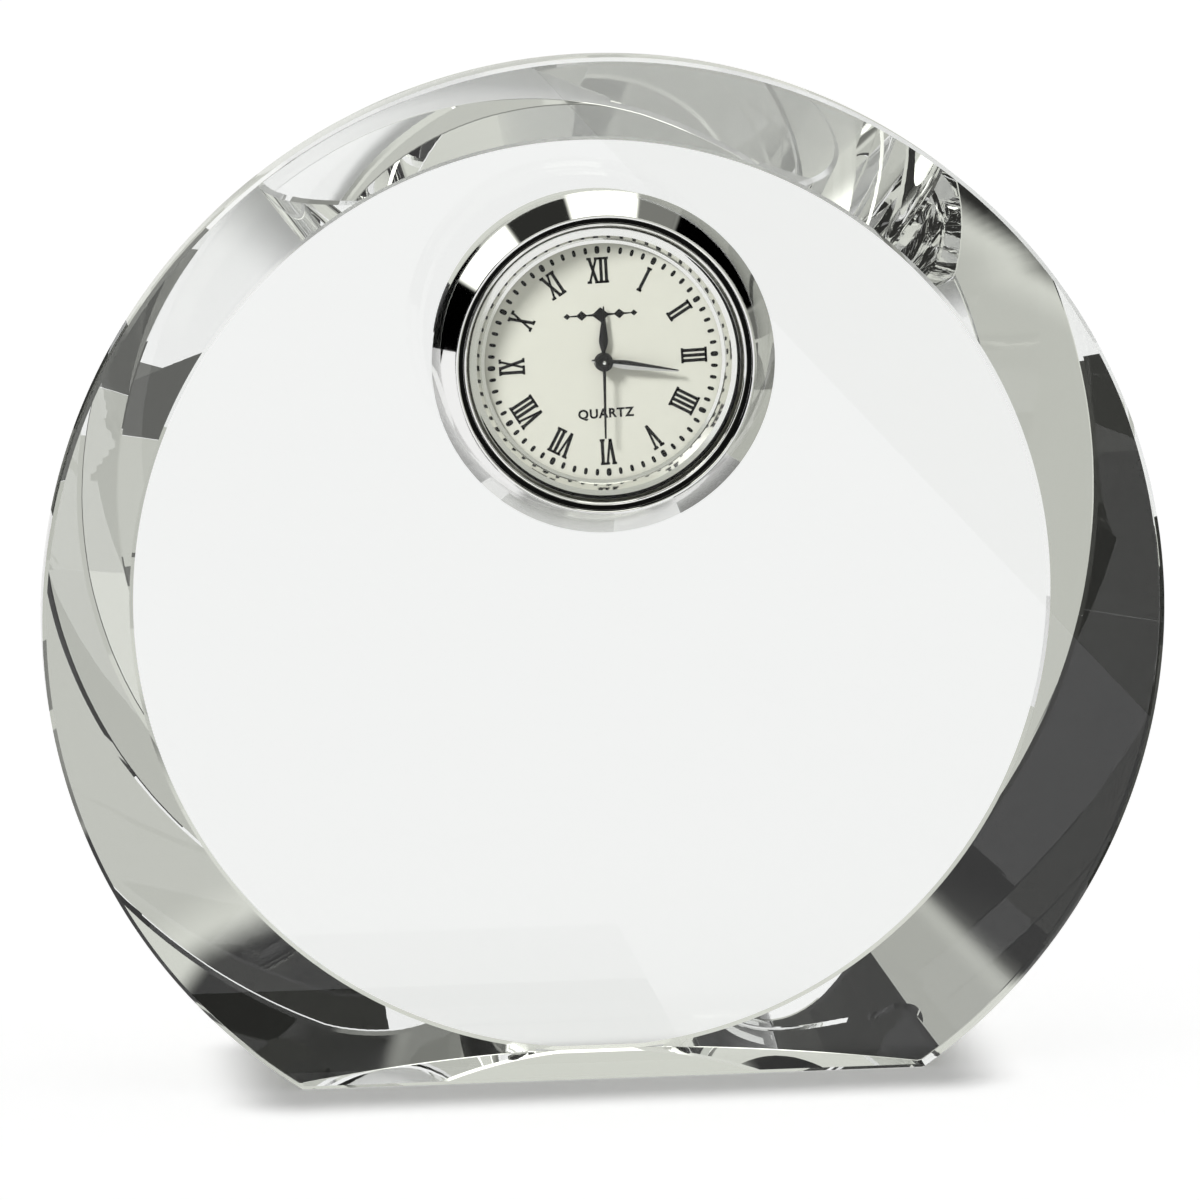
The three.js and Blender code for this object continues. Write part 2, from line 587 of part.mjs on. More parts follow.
// The going train, from the rotor to the centre wheel.
function makeTrain() {
  const half = MAGNET.thickness / 2;
  const rotor = join(
    bar(ARBOR.train, PIVOT_BACK, PIVOT_FRONT),
    bar(MAGNET.radius, STATOR_LEVEL - half, STATOR_LEVEL + half, CENTRE_AXIS, 20),
    pinionOf(STEP_DOWN, ROTOR_AXIS, INTERMEDIATE_AXIS, pinionLevel(INTERMEDIATE_WHEEL_BACK)),
  );
  addPart("rotor", rotor, DARK_IRON, ROTOR_AXIS);

  const intermediate = join(
    bar(ARBOR.train, PIVOT_BACK, PIVOT_FRONT),
    wheelOf(STEP_DOWN, INTERMEDIATE_AXIS, ROTOR_AXIS, INTERMEDIATE_WHEEL_BACK),
    pinionOf(TO_SECONDS, INTERMEDIATE_AXIS, CENTRE_AXIS, pinionLevel(SECOND_WHEEL_BACK)),
  );
  addPart("intermediate_wheel", intermediate, WHITE_PLASTIC, INTERMEDIATE_AXIS);

  const second = join(
    bar(ARBOR.seconds, PIVOT_BACK, SECOND_HAND_BACK + SECOND_HAND.thickness, CENTRE_AXIS, 10),
    wheelOf(TO_SECONDS, CENTRE_AXIS, INTERMEDIATE_AXIS, SECOND_WHEEL_BACK),
    pinionOf(TO_THIRD, CENTRE_AXIS, THIRD_AXIS, pinionLevel(THIRD_WHEEL_BACK)),
  );
  addPart("second_wheel", second, BRASS);

  const third = join(
    bar(ARBOR.train, PIVOT_BACK, PIVOT_FRONT),
    wheelOf(TO_THIRD, THIRD_AXIS, CENTRE_AXIS, THIRD_WHEEL_BACK),
    pinionOf(TO_CENTRE, THIRD_AXIS, CENTRE_AXIS, pinionLevel(CENTRE_WHEEL_BACK)),
  );
  addPart("third_wheel", third, WHITE_PLASTIC, THIRD_AXIS);

  const boss = bar(ARBOR.tube + BOSS.wall, CENTRE_WHEEL_BACK, PLATE_BACK - BOSS.clear);
  const centre = cut(
    join(wheelOf(TO_CENTRE, CENTRE_AXIS, THIRD_AXIS, CENTRE_WHEEL_BACK), boss),
    bar(ARBOR.tube + FIT, CENTRE_WHEEL_BACK - 1, PLATE_BACK),
  );
  addPart("centre_wheel", centre, BRASS);
}

// The motion work between the plate and the dial, and the knob that sets it.
function makeMotionWork() {
  const tubeFront = MINUTE_HAND_BACK + MINUTE_HAND.thickness;
  const tubeBack = CENTRE_WHEEL_BACK - BOSS.clear;
  const flange = bar(ARBOR.tube + FLANGE.wall, tubeBack, tubeBack + FLANGE.thickness);
  const cannon = cut(
    join(
      bar(ARBOR.tube, tubeBack, tubeFront),
      flange,
      pinionOf(TO_MINUTE_WHEEL, CENTRE_AXIS, SETTING_AXIS, pinionLevel(MINUTE_WHEEL_BACK)),
    ),
    bar(ARBOR.tube - ARBOR.wall, tubeBack - 1, tubeFront + 1, CENTRE_AXIS, 10),
  );
  addPart("cannon_pinion", cannon, STEEL);

  const minuteWheel = join(
    bar(ARBOR.setting, KNOB_FRONT - KNOB.length / 2, DIAL_BACK - HAND_SPACING),
    wheelOf(TO_MINUTE_WHEEL, SETTING_AXIS, CENTRE_AXIS, MINUTE_WHEEL_BACK),
    pinionOf(TO_HOURS, SETTING_AXIS, CENTRE_AXIS, pinionLevel(HOUR_WHEEL_BACK)),
  );
  addPart("minute_wheel", minuteWheel, BRASS, SETTING_AXIS);

  const pipeFront = HOUR_HAND_BACK + HOUR_HAND.thickness;
  const hourWheel = cut(
    join(
      wheelOf(TO_HOURS, CENTRE_AXIS, SETTING_AXIS, HOUR_WHEEL_BACK),
      bar(ARBOR.pipe, HOUR_WHEEL_BACK, pipeFront),
    ),
    bar(ARBOR.pipe - ARBOR.wall, HOUR_WHEEL_BACK - 1, pipeFront + 1),
  );
  addPart("hour_wheel", hourWheel, BRASS);

  const flutes = Array.from({ length: KNOB.flutes }, (_, i) =>
    bar(KNOB.flute, KNOB_BACK - 1, KNOB_FRONT - KNOB.end, at(KNOB.radius, (360 * i) / KNOB.flutes), 6),
  );
  const knob = cut(
    bar(KNOB.radius, KNOB_BACK, KNOB_FRONT, CENTRE_AXIS, 2 * KNOB.flutes),
    ...flutes,
    bar(ARBOR.setting + FIT, KNOB_BACK + KNOB.end, KNOB_FRONT + 1),
  );
  addPart("setting_knob", knob, WHITE_PLASTIC, SETTING_AXIS);
}

// The stepping motor: a stator plate round the rotor, and a coil on a core across its two arms.
function makeMotor() {
  const [farPad, nearPad] = CORE_PADS;
  const elbow = new THREE.Vector2(farPad.x, COIL.rise - COIL.flange - GAP - STATOR.arm);
  const shoulder = new THREE.Vector2(ROTOR_AXIS.x, elbow.y);
  const arm = (from, to) => strip(from, to, STATOR.arm, STATOR_BACK, STATOR_FRONT);
  const arms = [arm(ROTOR_AXIS, nearPad), arm(shoulder, elbow), arm(elbow, farPad)];
  const bend = bar(STATOR.arm / 2, STATOR_BACK, STATOR_FRONT, elbow);
  const pads = CORE_PADS.map((place) => bar(CORE.pad, STATOR_BACK, STATOR_FRONT, place));
  const ring = bar(STATOR.ring, STATOR_BACK, STATOR_FRONT, ROTOR_AXIS, 28);
  const stator = cut(
    join(ring, bend, ...arms, ...pads),
    bar(STATOR.hole, STATOR_BACK - 1, STATOR_FRONT + 1, ROTOR_AXIS, 28),
    block(0.5, 2 * STATOR.hole + 0.5, STATOR_BACK - 1, STATOR_FRONT + 1, ROTOR_AXIS),
    ...CORE_PADS.map((place) => bar(POST.bore, STATOR_BACK - 1, STATOR_FRONT + 1, place)),
  );
  addPart("stator", stator, DARK_IRON);

  const core = cut(
    join(
      strip(CORE_PADS[0], CORE_PADS[1], CORE.width, CORE_BACK, CORE_FRONT),
      ...CORE_PADS.map((place) => bar(CORE.pad, CORE_BACK, CORE_FRONT, place)),
    ),
    ...CORE_PADS.map((place) => bar(POST.bore, CORE_BACK - 1, CORE_FRONT + 1, place)),
  );
  addPart("coil_core", core, DARK_IRON);

  // The bobbin and its winding lie along x, so they are made along z and turned.
  const half = COIL.length / 2;
  const { flange, clear } = BOBBIN;
  const bobbin = cut(
    join(
      bar(COIL.sleeve, -half, half, CENTRE_AXIS, 16),
      bar(COIL.flange, -half, -half + flange, CENTRE_AXIS, 20),
      bar(COIL.flange, half - flange, half, CENTRE_AXIS, 20),
    ),
    block(CORE.thickness + 2 * GAP, CORE.width + 2 * GAP, -half - 1, half + 1),
  );
  const winding = cut(
    bar(COIL.radius, -half + flange + clear, half - flange - clear, CENTRE_AXIS, 20),
    bar(COIL.sleeve + clear, -half, half, CENTRE_AXIS, 16),
  );
  const laid = [
    ["coil_bobbin", bobbin, BLACK_PLASTIC],
    ["coil_winding", winding, COPPER],
  ];
  for (const [name, solid, material] of laid) {
    const mesh = addPart(name, solid, material);
    mesh.position.set(COIL.middle, COIL.rise, CORE_LEVEL);
    mesh.rotation.y = Math.PI / 2;
  }
}

// The circuit board fills the segment beside the train and carries the chip and the crystal can.
function makeElectronics() {
  const { top, bottom, thickness } = BOARD;
  const angleAt = (y) => Math.PI - Math.asin(y / BOARD_RADIUS);
  const outline = new THREE.Shape();
  outline.moveTo(BOARD_EDGE, top);
  outline.absarc(0, 0, BOARD_RADIUS, angleAt(top), angleAt(bottom), false);
  outline.lineTo(BOARD_EDGE, bottom);
  const board = cut(
    plate(outline, BOARD_BACK, BOARD_BACK + thickness),
    bar(POST.bore, BOARD_BACK - 1, BOARD_BACK + 1, onBoard(BOARD_SCREW)),
  );
  addPart("circuit_board", board, BOARD_GREEN);

  const seat = BOARD_BACK - GAP;
  const chip = block(CHIP.side, CHIP.side, seat - CHIP.thickness, seat);
  addPart("timing_chip", chip, EPOXY, onBoard(CHIP));

  const can = turned(
    [
      [0, -QUARTZ.length / 2],
      [QUARTZ.radius, -QUARTZ.length / 2],
      [QUARTZ.radius, QUARTZ.length / 2 - QUARTZ.edge],
      [QUARTZ.radius - QUARTZ.edge, QUARTZ.length / 2],
      [0, QUARTZ.length / 2],
    ],
    20,
  );
  const mesh = addPart("quartz_can", can, STEEL, onBoard(QUARTZ));
  mesh.position.z = seat - QUARTZ.radius;
  mesh.rotation.x = -Math.PI / 2;
}

// The cell, cap to the front, with a tongue under its cap and a spring round its can.
function makeBattery() {
  const { radius, cap, capDepth } = BATTERY;
  const cell = turned(
    [
      [0, BATTERY_BACK],
      [radius - BATTERY.edge, BATTERY_BACK],
      [radius, BATTERY_BACK + BATTERY.edge],
      [radius, BATTERY_FRONT - capDepth],
      [cap, BATTERY_FRONT - capDepth],
      [cap, BATTERY_FRONT],
      [0, BATTERY_FRONT],
    ],
    36,
  );
  addPart("battery", cell, STEEL, BATTERY_AXIS);

  const tongueBack = BATTERY_FRONT + GAP;
  const tongueFront = tongueBack + CONTACT.thickness;
  const away = new THREE.Vector2(BOARD_EDGE + CONTACT.onBoard, BOARD.bottom - CONTACT.width / 2 - GAP);
  const tongue = join(
    bar(CONTACT.pad, tongueBack, tongueFront, BATTERY_AXIS),
    strip(BATTERY_AXIS, away, CONTACT.width, tongueBack, tongueFront),
  );
  addPart("battery_contact_minus", tongue, BRASS);

  const inner = radius + GAP;
  const outer = inner + CONTACT.thickness;
  const wrap = new THREE.Shape();
  const [start, end] = [THREE.MathUtils.degToRad(120), THREE.MathUtils.degToRad(205)];
  wrap.absarc(0, 0, outer, start, end, false);
  wrap.absarc(0, 0, inner, end, start, true);
  const tabFront = BOARD_BACK - GAP;
  const tab = strip(
    at(outer - CONTACT.thickness / 2, 180),
    new THREE.Vector2(BOARD_EDGE - CONTACT.onBoard, BOARD.bottom + CONTACT.onBoard).sub(BATTERY_AXIS),
    CONTACT.width,
    tabFront - CONTACT.thickness,
    tabFront,
  );
  const spring = join(plate(wrap, BATTERY_BACK + CONTACT.onBoard, tabFront), tab);
  addPart("battery_contact_plus", spring, BRASS, BATTERY_AXIS);
}

makeGlass();
makeBezel();
makeGlazing();
makeDial();
makeHand("hour_hand", HOUR_HAND, HOUR_HAND_BACK, ARBOR.pipe);
makeHand("minute_hand", MINUTE_HAND, MINUTE_HAND_BACK, ARBOR.tube);
makeSecondHand();
makeCase();
makePlates();
makeScrews();
makeTrain();
makeMotionWork();
makeMotor();
makeElectronics();
makeBattery();

export default clock;
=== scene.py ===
"""Looks of a crystal desk clock: a round glass block with a small quartz clock in it.

Every piece is built in the clock's own frame, in metres: the origin is the middle of the flat
base, +Z is up and the dial faces -Y. Shapes are worked out in millimetres, in axes of their own,
and a Place puts them into the frame.
"""

import json
import logging
import math
from dataclasses import dataclass, field
from enum import Enum

import bmesh
import bpy
import numpy as np
from mathutils import Matrix, Vector


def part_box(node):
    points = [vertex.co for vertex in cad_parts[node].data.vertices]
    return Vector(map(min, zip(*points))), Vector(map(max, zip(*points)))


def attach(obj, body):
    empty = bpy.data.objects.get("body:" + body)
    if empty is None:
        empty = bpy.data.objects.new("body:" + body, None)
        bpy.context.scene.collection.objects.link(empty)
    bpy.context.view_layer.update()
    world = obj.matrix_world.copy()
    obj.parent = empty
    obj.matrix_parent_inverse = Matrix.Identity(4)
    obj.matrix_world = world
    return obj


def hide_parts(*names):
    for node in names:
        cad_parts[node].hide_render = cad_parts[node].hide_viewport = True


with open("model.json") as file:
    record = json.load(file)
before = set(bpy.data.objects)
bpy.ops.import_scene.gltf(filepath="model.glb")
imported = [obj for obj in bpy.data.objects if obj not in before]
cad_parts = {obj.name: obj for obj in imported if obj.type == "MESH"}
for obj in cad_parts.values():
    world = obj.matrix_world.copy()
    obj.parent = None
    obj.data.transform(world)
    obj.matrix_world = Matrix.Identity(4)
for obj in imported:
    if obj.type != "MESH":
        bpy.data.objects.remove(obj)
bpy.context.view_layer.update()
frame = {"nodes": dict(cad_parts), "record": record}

LOG = logging.getLogger("clock")
MM = 0.001
MIRRORED_TINT = (0.985, 1.0, 0.915, 1.0)  # the studio's colour in polished surfaces
DUST_COLOUR = (0.62, 0.6, 0.57, 1.0)
FEW_TURNS = 2.5  # between two and three meetings with glass or metal
FAR = 12000.0  # half the floor's width, in millimetres
INSERT_TURN = math.radians(2.2)  # the clock sits this far anticlockwise in its hole

Array = np.ndarray
Pair = tuple[float, float]
Triple = tuple[float, float, float]
Piece = bpy.types.Object
Material = bpy.types.Material
Socket = bpy.types.NodeSocket
Node = bpy.types.Node
Tree = bpy.types.NodeTree


# ---- Places and meshes ----


@dataclass(frozen=True)
class Place:
    """Axes for one sub-assembly: +x right and +y up as seen from the front, +z to the viewer.

    Attributes:
        middle: X and Z of the axes' origin in the frame, in metres.
        front: Y of the origin in the frame, in metres.
        turn: anticlockwise turn as seen from the front, in radians.
    """

    middle: Pair
    front: float
    turn: float = 0.0

    def world(self, points: Array) -> Array:
        """Turns points about the viewing axis, then maps (x, y, z) to (x, -z, y) in the frame.

        Args:
            points: any array whose last axis holds x, y and z in millimetres.

        Returns:
            The same array in the frame, in metres.
        """
        c, s = math.cos(self.turn), math.sin(self.turn)
        x, y, z = (points[..., i] * MM for i in range(3))
        across = self.middle[0] + x * c - y * s
        up = self.middle[1] + x * s + y * c
        return np.stack([across, self.front - z, up], axis=-1)


def place_of_glass() -> Place:
    """Axes on the middle of the glass disc, at its front face."""
    low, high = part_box("crystal_block")
    radius = (high.x - low.x) / 2
    return Place(middle=(0.0, high.z - radius), front=low.y)


def place_of_insert() -> Place:
    """Axes on the middle of the dial, at the front face of the glass."""
    low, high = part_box("bezel")
    middle = ((low.x + high.x) / 2, (low.z + high.z) / 2)
    return Place(middle=middle, front=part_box("crystal_block")[0].y, turn=INSERT_TURN)


def grid_faces(rows: int, columns: int, close_rows: bool, close_columns: bool) -> Array:
    """Quads that join a grid of points, numbered row by row.

    Args:
        rows: number of rows of points.
        columns: number of points in a row.
        close_rows: whether the last row joins the first.
        close_columns: whether the last column joins the first.

    Returns:
        An array of four point numbers for each quad.
    """
    r = np.arange(rows if close_rows else rows - 1)[:, None]
    c = np.arange(columns if close_columns else columns - 1)[None, :]
    r2, c2 = (r + 1) % rows, (c + 1) % columns
    corners = [r * columns + c, r * columns + c2, r2 * columns + c2, r2 * columns + c]
    return np.stack(np.broadcast_arrays(*corners), axis=-1).reshape(-1, 4)


@dataclass
class Surface:
    """Points and quads that one piece is gathered from before it becomes a mesh."""

    points: list[Array] = field(default_factory=list)
    quads: list[Array] = field(default_factory=list)
    count: int = 0

    def add(self, points: Array, quads: Array) -> "Surface":
        """Adds points in millimetres and the quads that join them, and returns the surface."""
        flat = points.reshape(-1, 3)
        self.points.append(flat)
        self.quads.append(quads + self.count)
        self.count += len(flat)
        return self

    def add_grid(self, grid: Array, close_rows: bool = False, close_columns: bool = True) -> "Surface":
        """Adds a grid of points, rows first, as a sheet of quads."""
        rows, columns = grid.shape[:2]
        return self.add(grid, grid_faces(rows, columns, close_rows, close_columns))

    def build(self, name: str, place: Place, material: Material, sharp: float = 20) -> Piece:
        """Makes the mesh, welds its seams and poles, and turns its faces outwards.

        Args:
            name: the piece's name.
            place: the axes that the points are in.
            material: the piece's material.
            sharp: edges that bend more than this many degrees stay crisp.

        Returns:
            The piece, at the origin, with its place in its mesh.
        """
        points = place.world(np.concatenate(self.points))
        quads = np.concatenate(self.quads)
        mesh = bpy.data.meshes.new(name)
        mesh.vertices.add(len(points))
        mesh.vertices.foreach_set("co", points.astype(np.float32).ravel())
        mesh.loops.add(quads.size)
        mesh.loops.foreach_set("vertex_index", quads.astype(np.int32).ravel())
        mesh.polygons.add(len(quads))
        mesh.polygons.foreach_set("loop_start", np.arange(0, quads.size, 4, dtype=np.int32))
        mesh.update(calc_edges=True)
        weld(mesh)
        mesh.polygons.foreach_set("use_smooth", np.ones(len(mesh.polygons), dtype=bool))
        mesh.set_sharp_from_angle(angle=math.radians(sharp))
        mesh.materials.append(material)
        return add_object(name, mesh)


def add_object(name: str, data: bpy.types.ID) -> bpy.types.Object:
    """Puts a mesh, curve, lamp or camera into the scene as an object, and returns it."""
    made = bpy.data.objects.new(name, data)
    bpy.context.scene.collection.objects.link(made)
    return made


def evaluated_mesh(made: Piece) -> bpy.types.Mesh:
    """A copy of an object's mesh with its modifiers, or its text, worked out."""
    bpy.context.view_layer.update()
    return bpy.data.meshes.new_from_object(made.evaluated_get(bpy.context.evaluated_depsgraph_get()))


def weld(mesh: bpy.types.Mesh, distance: float = 1e-6) -> None:
    """Merges points closer than a distance, drops faces left without area, and faces outwards.

    Args:
        mesh: the mesh to mend.
        distance: the merging distance in metres.
    """
    work = bmesh.new()
    work.from_mesh(mesh)
    bmesh.ops.remove_doubles(work, verts=work.verts, dist=distance)
    bmesh.ops.dissolve_degenerate(work, edges=work.edges, dist=distance / 10)
    bmesh.ops.recalc_face_normals(work, faces=work.faces)
    work.to_mesh(mesh)
    work.free()
    mesh.update()


def turned(profile: Array, columns: int = 192) -> Array:
    """A body of revolution about z: the point (r, level) goes to (r cos a, r sin a, level).

    Args:
        profile: rows of radius and level, in millimetres.
        columns: number of steps round the axis.

    Returns:
        A grid of points with one row for each profile point.
    """
    a = np.linspace(0, 2 * np.pi, columns, endpoint=False)
    r, level = profile[:, :1], profile[:, 1:]
    return np.stack([r * np.cos(a), r * np.sin(a), level + 0 * a], axis=-1)


def joined(*runs: object) -> Array:
    """One profile from several runs of radius and level."""
    return np.concatenate([np.asarray(run, dtype=float) for run in runs])


def arc(middle: Pair, radii: Pair, start: float, end: float, steps: int) -> Array:
    """Points of a stretch of an ellipse: middle + radii * (cos a, sin a).

    Args:
        middle: radius and level of the ellipse's middle.
        radii: its half-widths along the radius and along the level.
        start: first angle in degrees.
        end: last angle in degrees.
        steps: number of points.

    Returns:
        Rows of radius and level.
    """
    a = np.radians(np.linspace(start, end, steps))
    return np.stack([middle[0] + radii[0] * np.cos(a), middle[1] + radii[1] * np.sin(a)], axis=-1)


# ---- Shader helpers ----


class Nodes:
    """A short way to add and join nodes in one tree."""

    def __init__(self, tree: Tree) -> None:
        """Keeps the tree that nodes are added to."""
        self.tree = tree

    def add(self, kind: str, **values: object) -> Node:
        """Adds a node and sets its properties, or its inputs where no property has the name.

        Args:
            kind: the node's type name, such as ShaderNodeBump.
            **values: properties, or inputs with spaces written as underscores.

        Returns:
            The node.
        """
        node = self.tree.nodes.new(kind)
        for key in [k for k in values if hasattr(node, k)]:
            setattr(node, key, values.pop(key))
        return self.put(node, **values)

    def put(self, node: Node, **values: object) -> Node:
        """Joins or sets a node's inputs, with spaces written as underscores, and returns the node."""
        for key, value in values.items():
            self.feed(node.inputs[key.replace("_", " ")], value)
        return node

    def feed(self, socket: Socket, value: object) -> None:
        """Joins another socket to this one, or sets its plain value."""
        if isinstance(value, Socket):
            self.tree.links.new(value, socket)
        else:
            socket.default_value = value

    def step(self, kind: str, inputs: tuple, **values: object) -> Socket:
        """Adds a node, feeds its inputs in order, and returns its first output."""
        node = self.add(kind, **values)
        for socket, value in zip(node.inputs, inputs):
            self.feed(socket, value)
        return node.outputs[0]

    def math(self, operation: str, *inputs: object, clamp: bool = False) -> Socket:
        """One step of arithmetic on numbers."""
        return self.step("ShaderNodeMath", inputs, operation=operation, use_clamp=clamp)

    def vector(self, operation: str, *inputs: object) -> Socket:
        """One step of arithmetic on vectors that gives a vector."""
        return self.step("ShaderNodeVectorMath", inputs, operation=operation)

    def spread(self, value: object, low: object, high: object) -> Socket:
        """Maps 0..1 to low..high."""
        return self.add("ShaderNodeMapRange", Value=value, To_Min=low, To_Max=high).outputs["Result"]

    def mix(self, share: object, a: object, b: object, kind: str = "RGBA") -> Socket:
        """Blends two colours, or two numbers where the kind is FLOAT."""
        node = self.add("ShaderNodeMix", data_type=kind)
        return self.put(node, Factor=share, A=a, B=b).outputs["Result"]

    def relief(self, shader: Node, strength: float, depth: float, height: Socket) -> None:
        """Bumps a shader's normal by a height, with its depth in millimetres."""
        bump = self.step("ShaderNodeBump", (), Strength=strength, Distance=depth * MM, Height=height)
        self.put(shader, Normal=bump)

    def surface(self, share: object, plain: Socket, other: Socket) -> None:
        """Makes the material's surface a blend of two shaders."""
        both = self.step("ShaderNodeMixShader", (share, plain, other))
        self.put(self.tree.nodes["Material Output"], Surface=both)


# ---- Shared effects ----


def new_group(name: str, inputs: dict[str, object], outputs: tuple[str, ...]) -> tuple[Nodes, Node, Node]:
    """Starts a shader node group with named sockets.

    Args:
        name: the group's name.
        inputs: each input's default, a number or three numbers.
        outputs: names of the outputs, which are numbers.

    Returns:
        The group's node helper, its input node and its output node.
    """
    tree = bpy.data.node_groups.new(name, "ShaderNodeTree")
    for key, value in inputs.items():
        kind = "NodeSocketVector" if isinstance(value, tuple) else "NodeSocketFloat"
        tree.interface.new_socket(name=key, in_out="INPUT", socket_type=kind).default_value = value
    for key in outputs:
        tree.interface.new_socket(name=key, in_out="OUTPUT", socket_type="NodeSocketFloat")
    nodes = Nodes(tree)
    return nodes, nodes.add("NodeGroupInput"), nodes.add("NodeGroupOutput")


def grain_group() -> Tree:
    """Fine uneven grain: a tone and a height from two sizes of noise."""
    broad_share, broad_scale = 0.4, 0.12
    nodes, given, out = new_group("fine_grain", {"Scale": 500.0, "Contrast": 1.0}, ("Tone", "Height"))
    where = nodes.add("ShaderNodeTexCoord").outputs["Object"]
    scale, contrast = given.outputs["Scale"], given.outputs["Contrast"]
    fine = nodes.step("ShaderNodeTexNoise", (), Vector=where, Scale=scale, Detail=4.0)
    broader = nodes.math("MULTIPLY", scale, broad_scale)
    broad = nodes.step("ShaderNodeTexNoise", (), Vector=where, Scale=broader, Detail=2.0)
    both = nodes.math("MULTIPLY_ADD", fine, 1 - broad_share, nodes.math("MULTIPLY", broad, broad_share))
    stretched = nodes.math("MULTIPLY", nodes.math("SUBTRACT", both, 0.5), contrast)
    nodes.put(out, Tone=nodes.math("ADD", stretched, 0.5, clamp=True), Height=fine)
    return nodes.tree


def lathe_group() -> Tree:
    """Fine rings left by turning: noise along the distance from an axis that runs along Y."""
    inputs = {"Middle": (0.0, 0.0, 0.0), "Pitch": 0.00005}
    nodes, given, out = new_group("lathe_marks", inputs, ("Tone", "Height"))
    where = nodes.add("ShaderNodeTexCoord").outputs["Object"]
    apart = nodes.vector("SUBTRACT", where, given.outputs["Middle"])
    length = nodes.add("ShaderNodeVectorMath", operation="LENGTH")
    nodes.feed(length.inputs[0], nodes.vector("MULTIPLY", apart, (1.0, 0.0, 1.0)))
    steps = nodes.math("DIVIDE", length.outputs["Value"], given.outputs["Pitch"])
    rings = nodes.step("ShaderNodeTexNoise", (), noise_dimensions="1D", W=steps, Scale=1.0, Detail=3.0)
    nodes.put(out, Tone=rings, Height=rings)
    return nodes.tree


def dust_group() -> Tree:
    """Light dust: specks of noise, thickest where a surface faces up."""
    threshold, contrast = 0.55, 4.0
    nodes, given, out = new_group("light_dust", {"Scale": 900.0, "Amount": 0.2}, ("Mask",))
    where = nodes.add("ShaderNodeTexCoord")
    up = nodes.add("ShaderNodeSeparateXYZ", Vector=where.outputs["Normal"]).outputs["Z"]
    scale = given.outputs["Scale"]
    specks = nodes.step("ShaderNodeTexNoise", (), Vector=where.outputs["Object"], Scale=scale, Detail=2.0)
    sparse = nodes.math("MULTIPLY", nodes.math("SUBTRACT", specks, threshold), contrast, clamp=True)
    facing = nodes.math("MULTIPLY_ADD", up, 0.5, 0.5)
    amount = nodes.math("MULTIPLY", facing, given.outputs["Amount"])
    nodes.put(out, Mask=nodes.math("MULTIPLY", sparse, amount, clamp=True))
    return nodes.tree


class Effects:
    """The shared groups, built once."""

    def __init__(self) -> None:
        """Builds the three groups."""
        self.grain = grain_group()
        self.lathe = lathe_group()
        self.dust = dust_group()

    def put(self, nodes: Nodes, group: Tree, **values: object) -> Node:
        """Places a group in a material with its own values."""
        return nodes.put(nodes.add("ShaderNodeGroup", node_tree=group), **values)


# ---- Finishes ----


def new_material(name: str) -> tuple[Material, Nodes, Node]:
    """An empty material with a Principled shader.

    Args:
        name: the material's name.

    Returns:
        The material, its node helper and its shader.
    """
    material = bpy.data.materials.new(name)
    material.use_nodes = True
    tree = material.node_tree
    return material, Nodes(tree), tree.nodes["Principled BSDF"]


@dataclass(frozen=True)
class Finish:
    """A solid finish: its colour wanders a little, its gloss too, and dust lies on it.

    Attributes:
        colour: the middle colour.
        shade: how far the darker tone lies below it, from 0 to 1.
        metallic: 1 for metals.
        gloss: lowest and highest roughness.
        grain: grain scale in steps per metre.
        relief: height of the grain in millimetres.
        dust: amount of dust.
        lathe: distance between turning marks in millimetres, or 0 for none.
        gleam: specular level.
    """

    colour: Triple
    shade: float = 0.12
    metallic: float = 0.0
    gloss: Pair = (0.3, 0.4)
    grain: float = 700.0
    relief: float = 0.002
    dust: float = 0.0
    lathe: float = 0.0
    gleam: float = 0.5

    def make(self, name: str, effects: Effects, axis: Triple = (0, 0, 0)) -> Material:
        """Builds the material.

        Args:
            name: the material's name.
            effects: the shared groups.
            axis: a point on the axis of its turning marks.

        Returns:
            The material.
        """
        material, nodes, shader = new_material(name)
        grain = effects.put(nodes, effects.grain, Scale=self.grain, Contrast=1.6)
        tone, height = grain.outputs["Tone"], grain.outputs["Height"]
        if self.lathe:
            marks = effects.put(nodes, effects.lathe, Middle=axis, Pitch=self.lathe * MM)
            tone = nodes.math("MULTIPLY_ADD", marks.outputs["Tone"], 0.7, nodes.math("MULTIPLY", tone, 0.3))
            height = marks.outputs["Height"]
        darker = tuple(c * (1 - self.shade) for c in self.colour)
        colour = nodes.mix(tone, (*darker, 1.0), (*self.colour, 1.0))
        roughness = nodes.spread(tone, self.gloss[1], self.gloss[0])
        if self.dust:
            mask = effects.put(nodes, effects.dust, Amount=self.dust).outputs["Mask"]
            colour = nodes.mix(mask, colour, DUST_COLOUR)
            roughness = nodes.math("ADD", roughness, nodes.math("MULTIPLY", mask, 0.5), clamp=True)
        nodes.put(shader, Base_Color=colour, Roughness=roughness, Metallic=self.metallic)
        nodes.put(shader, Specular_IOR_Level=self.gleam)
        nodes.relief(shader, 0.6, self.relief, height)
        return material


